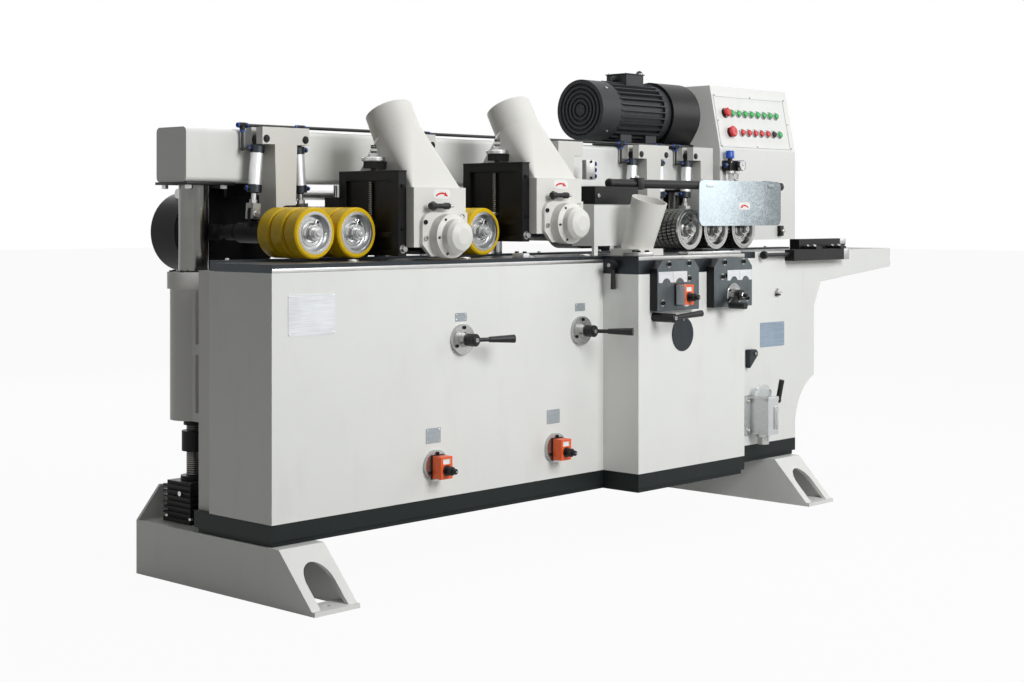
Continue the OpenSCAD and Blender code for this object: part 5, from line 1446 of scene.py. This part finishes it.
class MOULDER_OT_console_fittings(bpy.types.Operator):
    """Fits bezels, button lenses, screws and a latch to the operator console"""

    bl_idname = "moulder.console_fittings"
    bl_label = "Console fittings"

    def execute(self, context):
        panel = Piece("chrome", "knob", "steel")
        lenses = Piece("green", "red", "knob")
        top = BUTTON_TOP
        lens = [(10.9, top - 0.5), (10.9, top + 0.2), (9.6, top + 1.2), (5, top + 1.9), (0, top + 2)]
        for u, v, shade in button_spots():
            place = on_panel(u, v)
            panel.turned([(11.5, 5.2), (13.5, 6), (15.6, 3.5), (15.6, -0.5)], place, PANEL_OUT, 0, 28)
            lenses.turned(lens, place, PANEL_OUT, shade, 28)
        for u, v in STOPS:
            panel.turned(rim(18.5, 4, 1, 0.5, 14.2), on_panel(u, v), PANEL_OUT, 1)
        left, right, low, high = PANEL_FRAME
        middle = ((left + right) / 2, (low + high) / 2)
        for u in (left + FRAME_HALF, middle[0], right - FRAME_HALF):
            for v in (low + FRAME_HALF, middle[1], high - FRAME_HALF):
                if (u, v) != middle:
                    panel.screw(on_panel(u, v, 3), PANEL_OUT, 0.55, 2)
        panel.done("panel_fittings", "frame", "bright_steel")
        lenses.done("button_lenses", "buttons", "green_plastic")
        latch = Piece("black", "steel")
        latch.block(*LATCH_BOX, 2)
        latch.turned(rim(8, 12, 2, 1), spot(2741, LATCH_BOX[0][1], 938), FRONT, 1, 20)
        latch.done("console_latch", "frame", "black_paint")
        return {"FINISHED"}


# Bolts on each adjuster plate: along from its left edge, and height
PLATE_BOLTS = (
    ((57, 847), (159, 848), (159, 801), (26, 728)),
    ((57, 847), (159, 848), (45, 801), (180, 728)),
)
# Scales on the plates: left, right, low and high
SCALES = ((1366, 1509, 790, 824), (1722, 1856, 788, 821))
SCALE_THICK = 1.2
BARE_DISC = (1504, 738)
# The round cover below the plates: along, height and radius
COVER = (1525, 625, 54)
LEVER_ENDS = tuple(((x, -58.4, z), FRONT) for x, z in CLAMPS) + (
    ((1281.6, -48, 844), -RIGHT), ((1381, -221.4, 684), FRONT),
)
CRANK_FRONT = -205.4


def scale_outline(width, height):
    """A bare scale plate with two round bites out of its lower edge."""
    radius = width * 0.16
    drop = radius * 0.4
    start = math.asin(drop / radius)
    outline = [(width, 0), (width, height), (0, height), (0, 0)]
    for middle in (width * 0.27, width * 0.74):
        for step in range(9):
            a = math.pi - start - (math.pi - 2 * start) * step / 8
            outline.append((middle + radius * math.cos(a), radius * math.sin(a) - drop))
    return outline


class MOULDER_OT_adjusters(bpy.types.Operator):
    """Fits scales, screws, dials, knobs and covers to the adjusters on the front"""

    bl_idname = "moulder.adjusters"
    bl_label = "Adjusters"

    def execute(self, context):
        piece = Piece("black", "scale", "steel", "blackened", "knob", "chrome")
        for plate, bolts, (left, right, low, high) in zip(PLATES, PLATE_BOLTS, SCALES):
            for along, z in bolts:
                at = spot(plate + along, PLATE_FRONT, z)
                piece.turned(washer(10.5, 0.8, 7), at, FRONT, 2, 24)
                piece.screw(at, FRONT, 1.1)
            place = flat_on(spot(left, PLATE_FRONT, low), FRONT)
            piece.slab(scale_outline(right - left, high - low), SCALE_THICK, place, 0, 1)
            seam = place @ Matrix.Translation(((right - left) / 2 * MM, 0, SCALE_THICK * MM))
            piece.block((-0.4, 2, 0), (0.4, high - low, 0.15), 0, 3, seam)
        x, z = CRANK
        piece.turned(rim(38, 6, 2, 0.5, 22), spot(x, PLATE_FRONT, z), FRONT, 5, 48)
        for along, up in around(3, 30, 30):
            piece.screw(spot(x + along, PLATE_FRONT - 6, z + up), FRONT, 0.55)
        piece.turned(rim(25.5, 3, 1.5), spot(BARE_DISC[0], PLATE_FRONT, BARE_DISC[1]), FRONT, 1, 40)
        x, z, radius = COVER
        piece.turned(rim(radius, 3), spot(x, BLOCK_FRONT, z), FRONT, 3, 64)
        piece.screw(spot(x, BLOCK_FRONT - 3, z + radius - 9), FRONT, 0.5, 2)
        for x, z in CLAMPS + COUNTERS:
            for along, up in around(3, 90, 34):
                piece.screw(spot(x + along, COUNTER_BACK, z + up), FRONT, 0.8)
        for x, z, y in COUNTER_PLACES:
            shaft = spot(x, y - COUNTER_DEEP, z - SHAFT_DROP)
            piece.turned([(15, -0.5), (15, 3), (9, 4)], shaft, FRONT, 4, 28)
            piece.turned(
                [(9, 11), (12.5, 13), (12.5, 22), (10, 25), (8, 25), (8, 36), (6, 38), (0, 38)],
                shaft, FRONT, 4, 18,
            )
            piece.turned([(2.5, 37.5), (2.5, 39.5), (0, 39.5)], shaft, FRONT, 2, 12)
            piece.block((x - 24, y - 4, z - 37), (x + 24, y + 0.5, z + 31), 1)
        piece.done("adjuster_fittings", "frame", "dark_steel")
        for i, (end, axis) in enumerate(LEVER_ENDS):
            cap = Piece("steel", "knob")
            place = spot(*end)
            cap.turned([(12, -0.5), (12, 2), (10, 3.5), (0, 3.5)], place, axis, 1, 24)
            cap.screw(place + axis * 3 * MM, axis, 0.9)
            cap.done(f"lever_{i + 1}_screw", f"lever_{i + 1}", "bright_steel")
        crank = Piece("steel", "knob")
        end = spot(CRANK[0], CRANK_FRONT, CRANK[1])
        crank.nut(end, FRONT, 20, 8)
        crank.turned([(8, 8), (6, 20), (4, 22), (0, 22)], end, FRONT, 1, 20)
        crank.done("crank_nut", "crank", "bright_steel")
        return {"FINISHED"}


# Bare plates on the cabinet front: left, right, low, high and finish
BARE_PLATES = (
    (53, 211, 685, 793, 0), (543, 600, 362, 404, 5), (1045, 1102, 372, 414, 5),
    (658, 704, 697, 721, 5), (1173, 1219, 705, 729, 5), (2149, 2295, 539, 624, 1),
)
RIVET_IN = 5
LATCH = (2060, 505)
LATCH_THICK = 22
# The pump cabinet's catch: two small blocks and a pin
CATCH_LOW = ((2238, -10, 716), (2262, 0.5, 722))
CATCH_HIGH = ((2238, -14, 725), (2262, 0.5, 734))
CATCH_PIN = (2250, -6, 734)


class MOULDER_OT_cabinet_fittings(bpy.types.Operator):
    """Fits bare plates, rivets, a latch and a catch to the cabinets"""

    bl_idname = "moulder.cabinet_fittings"
    bl_label = "Cabinet fittings"

    def execute(self, context):
        thick = context.scene.moulder_fittings.plate_edge / MM
        piece = Piece("scale", "plate_blue", "steel", "blackened", "black", "tag")
        for left, right, low, high, finish in BARE_PLATES:
            place = flat_on(spot((left + right) / 2, 0, (low + high) / 2), FRONT)
            piece.slab(rounded(right - left, high - low, 3, 3), thick, place, 0, finish)
            for x in (left + RIVET_IN, right - RIVET_IN):
                for z in (low + RIVET_IN, high - RIVET_IN):
                    rivet = spot(x, -thick, z)
                    piece.turned([(2.4, -0.1), (2.2, 0.8), (1.2, 1.4), (0, 1.6)], rivet, FRONT, 2, 12)
        x, z = LATCH
        wedge = flat_on(spot(x, 0, z), FRONT)
        piece.slab([(0, 32), (38, 32), (48, 22), (46, 10), (0, -32)], LATCH_THICK, wedge, 2, 3)
        piece.screw(spot(x + 30, -LATCH_THICK, z + 18), FRONT, 0.8, 2)
        piece.block(*CATCH_LOW, 1, 4)
        piece.block(*CATCH_HIGH, 1.5, 2)
        piece.turned([(0, 8), (4, 8), (4, -1)], spot(*CATCH_PIN), UP, 2, 16)
        piece.done("cabinet_fittings", "frame", "aluminium")
        return {"FINISHED"}


TABLE_BOLTS = ((359, 96), (760, 60), (1010, 36), (1270, 40))
STRIP = ((0.4, -0.9, 850.5), (1305.6, 0.2, 861))
BLOCK_STRIP = ((1306.4, BLOCK_FRONT - 0.9, 860), (1857.6, BLOCK_FRONT + 0.2, 871.6))
FENCE_SCREWS = (1868, 2100, 2330, 2560, 60, 300, 780, 1300, 1600)
FENCE_SCREW_Y = 264
# Bars on the tables: low and high corners above the table, finish, and screws on top with their size
BARS = (
    ((958, 14, 0), (984, 62, 13), 3, ((971, 22), (971, 54)), 1),
    ((1318, -132, 0), (1392, -70, 12), 1, ((1334, -118), (1376, -118), (1355, -84)), 1.1),
    ((1560, -136, 0), (1846, -96, 10), 1, (), 1),
    ((1640, -134, 10), (1700, -104, 19), 2, (), 1),
)
LONG_BAR_SCREWS = ((1580, -116), (1740, -116), (1824, -116))
LONG_BAR_TOP = 10
# The infeed guide's end shoes, its screws and its knob
GUIDE_ENDS = (((2690, 19.6, 20), (2729.4, 60.4, 40.4)), ((2622, -40.4, -35.4), (2657.4, -0.3, 4.4)))
GUIDE_SCREWS = (2458, 2618)
GUIDE_KNOB = (2152, -20, -12)


def on_table(x, y, up):
    """A machine place by its height above the table."""
    return x, y, TABLE_Z + up


class MOULDER_OT_table_fittings(bpy.types.Operator):
    """Fits edge strips, bolts, bars and screws to the tables and the infeed guide"""

    bl_idname = "moulder.table_fittings"
    bl_label = "Table fittings"

    def execute(self, context):
        piece = Piece("edge", "steel", "black", "scale")
        piece.block(*STRIP, 0.3)
        piece.block(*BLOCK_STRIP, 0.3)
        for x, y in TABLE_BOLTS:
            piece.turned(
                [(0, 3), (5, 3), (6, 5), (15, 5), (17, 3), (17, -0.5)], spot(x, y, TABLE_Z), UP, 1, 28
            )
        for low, high, finish, screws, size in BARS:
            piece.block(on_table(*low), on_table(*high), 1.5, finish)
            for x, y in screws:
                piece.screw(spot(*on_table(x, y, high[2])), UP, size, 2)
        for x, y in LONG_BAR_SCREWS:
            piece.screw(spot(*on_table(x, y, LONG_BAR_TOP)), UP, 1, 2)
        for x in FENCE_SCREWS:
            piece.screw(spot(*on_table(x, FENCE_SCREW_Y, 6)), UP, 0.9, 1)
        piece.done("table_fittings", "frame", "ground_steel")
        guide = Piece("edge", "steel", "knob")
        for low, high in GUIDE_ENDS:
            guide.block(on_table(*low), on_table(*high), 1)
        for x in GUIDE_SCREWS:
            guide.screw(spot(*on_table(x, -20, 14)), UP, 1.1, 1)
            guide.screw(spot(*on_table(x, 8, 14)), UP, 0.9, 1)
        guide.turned(
            [(8, -4), (13, 0), (15, 8), (13, 15), (0, 18)], spot(*on_table(*GUIDE_KNOB)), -RIGHT, 2, 24
        )
        guide.done("guide_fittings", "guide", "black_paint")
        return {"FINISHED"}


FLANGE_FRONT = -9
LEVER_END = (2156.4, 300)


class MOULDER_OT_pump_fittings(bpy.types.Operator):
    """Fits a flange, sight glass, lid rings, drain and pipe to the oil pump"""

    bl_idname = "moulder.pump_fittings"
    bl_label = "Pump fittings"

    def execute(self, context):
        piece = Piece("hub", "steel", "glass", "knob")
        left, right, front, low, high = PUMP
        middle = (left + right) / 2
        deep = front / 2
        piece.block((left - 20, FLANGE_FRONT, low - 4), (right + 3, 0.3, high + 4), 2)
        for z in (low + 12, high - 16):
            bolt = spot(left - 11, FLANGE_FRONT, z)
            piece.nut(bolt, FRONT, 14, 8, 1)
            piece.turned(washer(9.5, 1.6, 5), bolt, FRONT, 1, 20)
        piece.block((right - 26, front - 4, low + 18), (right - 6, front + 0.5, high - 32), 1.5)
        piece.block((right - 22, front - 6, low + 24), (right - 10, front - 3.5, high - 38), 1, 2)
        for z in (low + 21, high - 35):
            piece.screw(spot(right - 16, front - 4, z), FRONT, 0.4, 1)
        piece.block((left - 1, front - 1.5, high - 12), (right + 1, 0, high + 1.5), 1)
        lid = spot(middle, deep, high)
        piece.turned([(28.2, 8), (29.5, 9), (29.5, 20), (28.2, 21)], lid, UP, 2, 40)
        piece.turned(
            [(21, 0.5), (24, -2), (24, -10), (20.5, -12)], spot(middle, deep, low), UP, 0, 6
        )
        piece.turned(rim(9, 7, 4), spot(middle - 4, deep, low - 35), -UP, 3, 20)
        pipe = spot(left + 14, front + 12, low - 1)
        piece.turned([(5.5, 0), (5.5, 8), (3, 9), (3, 20), (0, 20)], pipe, -UP, 1, 16)
        piece.done("pump_fittings", "frame", "aluminium")
        lever = Piece("steel")
        end = spot(LEVER_END[0], deep, LEVER_END[1])
        lever.turned([(0, 5), (9, 5), (10.5, 3), (10.5, -0.5)], end, RIGHT, 0, 20)
        lever.done("pump_lever_cap", "pump_lever", "bright_steel")
        return {"FINISHED"}


COLLAR_TOP = 841
COLLAR_REACH = 63
GEARBOX_TOP = 161
# Half the spacing of a gearbox's bolts, along and across
GEARBOX_BOLTS = (50, 54)
# A gearbox's oil cup and worm cover: along and across from its post, and height
CUP = (-50, -20, 232)
WORM_COVER = (20, -88, 211)
COVER_THICK = 4


class MOULDER_OT_column_fittings(bpy.types.Operator):
    """Fits screws, wiper rings, oil cups and covers to the columns and lifting gearboxes"""

    bl_idname = "moulder.column_fittings"
    bl_label = "Column fittings"

    def execute(self, context):
        piece = Piece("knob", "steel", "black")
        for x in POSTS:
            for along, across in around(8, 22.5, COLLAR_REACH):
                piece.screw(spot(x + along, POST_Y + across, COLLAR_TOP), UP, 0.9)
            piece.turned(
                [(42.6, 3.5), (49, 3.5), (52, 1.5), (52, -0.5)], spot(x, POST_Y, COLLAR_TOP), UP, 2, 64
            )
            along, across = GEARBOX_BOLTS
            for dx in (-along, along):
                for dy in (-across, across):
                    piece.nut(spot(x + dx, POST_Y + dy, GEARBOX_TOP), UP, 13, 7, 1)
            dx, dy, z = CUP
            piece.turned(
                [(5, -1), (5, 6), (7, 7), (7, 13), (0, 14)], spot(x + dx, POST_Y + dy, z), -RIGHT, 1, 16
            )
            dx, dy, z = WORM_COVER
            piece.turned(
                [(24, -0.5), (24, 2), (20, COVER_THICK), (0, COVER_THICK)],
                spot(x + dx, POST_Y + dy, z), FRONT, 0, 32,
            )
            for along, up in around(4, 45, 16):
                piece.screw(spot(x + dx + along, POST_Y + dy - COVER_THICK, z + up), FRONT, 0.45, 1)
        piece.done("column_fittings", "frame", "black_paint")
        return {"FINISHED"}


# The guard rail's left end, depth and height
RAIL = (1421, 72, 1100)
RAIL_CLAMP = (1546, 1578)
CLAMP_TOP = 20
GUARD_BOX_SCREWS = ((1345, 54, 1060), (1530, 54, 1060))
FLAP_LABEL = (2132, 54.1, 1030)


class MOULDER_OT_guard_fittings(bpy.types.Operator):
    """Fits an end cap, a clamp, screws and a turning arrow to the guards"""

    bl_idname = "moulder.guard_fittings"
    bl_label = "Guard fittings"

    def execute(self, context):
        piece = Piece("knob", "steel", "black")
        piece.turned([(15.5, -8), (15.5, 3), (12, 6), (0, 7)], spot(*RAIL), -RIGHT)
        y, z = RAIL[1:]
        left, right = RAIL_CLAMP
        piece.block((left, y - 19, z - 19), (right, y + 19, z + CLAMP_TOP), 3, 2)
        piece.screw(spot((left + right) / 2, y, z + CLAMP_TOP), UP, 1.1, 1)
        for place in GUARD_BOX_SCREWS:
            piece.screw(spot(*place), FRONT, 0.9, 1)
        piece.done("guard_fittings", "frame", "black_plastic")
        flap = Piece("dial", "red")
        flap.arrow(spot(*FLAP_LABEL), 70, 52, 108, 0, 1)
        flap.done("flap_arrow", "flap", "red_plastic")
        return {"FINISHED"}


OPERATORS = (
    MOULDER_OT_stage,
    MOULDER_OT_air_hose,
    MOULDER_OT_finishes,
    MOULDER_OT_roller_hubs,
    MOULDER_OT_hood_fittings,
    MOULDER_OT_shoe_fittings,
    MOULDER_OT_cylinder_fittings,
    MOULDER_OT_beam_fittings,
    MOULDER_OT_drive_fittings,
    MOULDER_OT_service_unit,
    MOULDER_OT_console_fittings,
    MOULDER_OT_adjusters,
    MOULDER_OT_cabinet_fittings,
    MOULDER_OT_table_fittings,
    MOULDER_OT_pump_fittings,
    MOULDER_OT_column_fittings,
    MOULDER_OT_guard_fittings,
)


class MOULDER_PT_panel(bpy.types.Panel):
    """Lists the pieces of the machine's dress"""

    bl_label = "Moulder"
    bl_idname = "MOULDER_PT_panel"
    bl_space_type = "VIEW_3D"
    bl_region_type = "UI"
    bl_category = "Moulder"

    def draw(self, context):
        for group in ("moulder_finishes", "moulder_fittings", "moulder_stage"):
            settings = getattr(context.scene, group)
            for name in settings.bl_rna.properties.keys():
                if name not in ("name", "rna_type"):
                    self.layout.prop(settings, name)
        for operator in OPERATORS:
            self.layout.operator(operator.bl_idname)


CLASSES = (MoulderFinishes, MoulderFittings, MoulderStage) + OPERATORS + (MOULDER_PT_panel,)


def register():
    for cls in CLASSES:
        bpy.utils.register_class(cls)
    bpy.types.Scene.moulder_finishes = PointerProperty(type=MoulderFinishes)
    bpy.types.Scene.moulder_fittings = PointerProperty(type=MoulderFittings)
    bpy.types.Scene.moulder_stage = PointerProperty(type=MoulderStage)


def unregister():
    del bpy.types.Scene.moulder_stage
    del bpy.types.Scene.moulder_fittings
    del bpy.types.Scene.moulder_finishes
    for cls in reversed(CLASSES):
        bpy.utils.unregister_class(cls)


def main():
    register()
    make_finishes(bpy.context.scene.moulder_finishes)
    for operator in OPERATORS:
        group, name = operator.bl_idname.split(".")
        getattr(getattr(bpy.ops, group), name)()


if __name__ == "__main__":
    main()
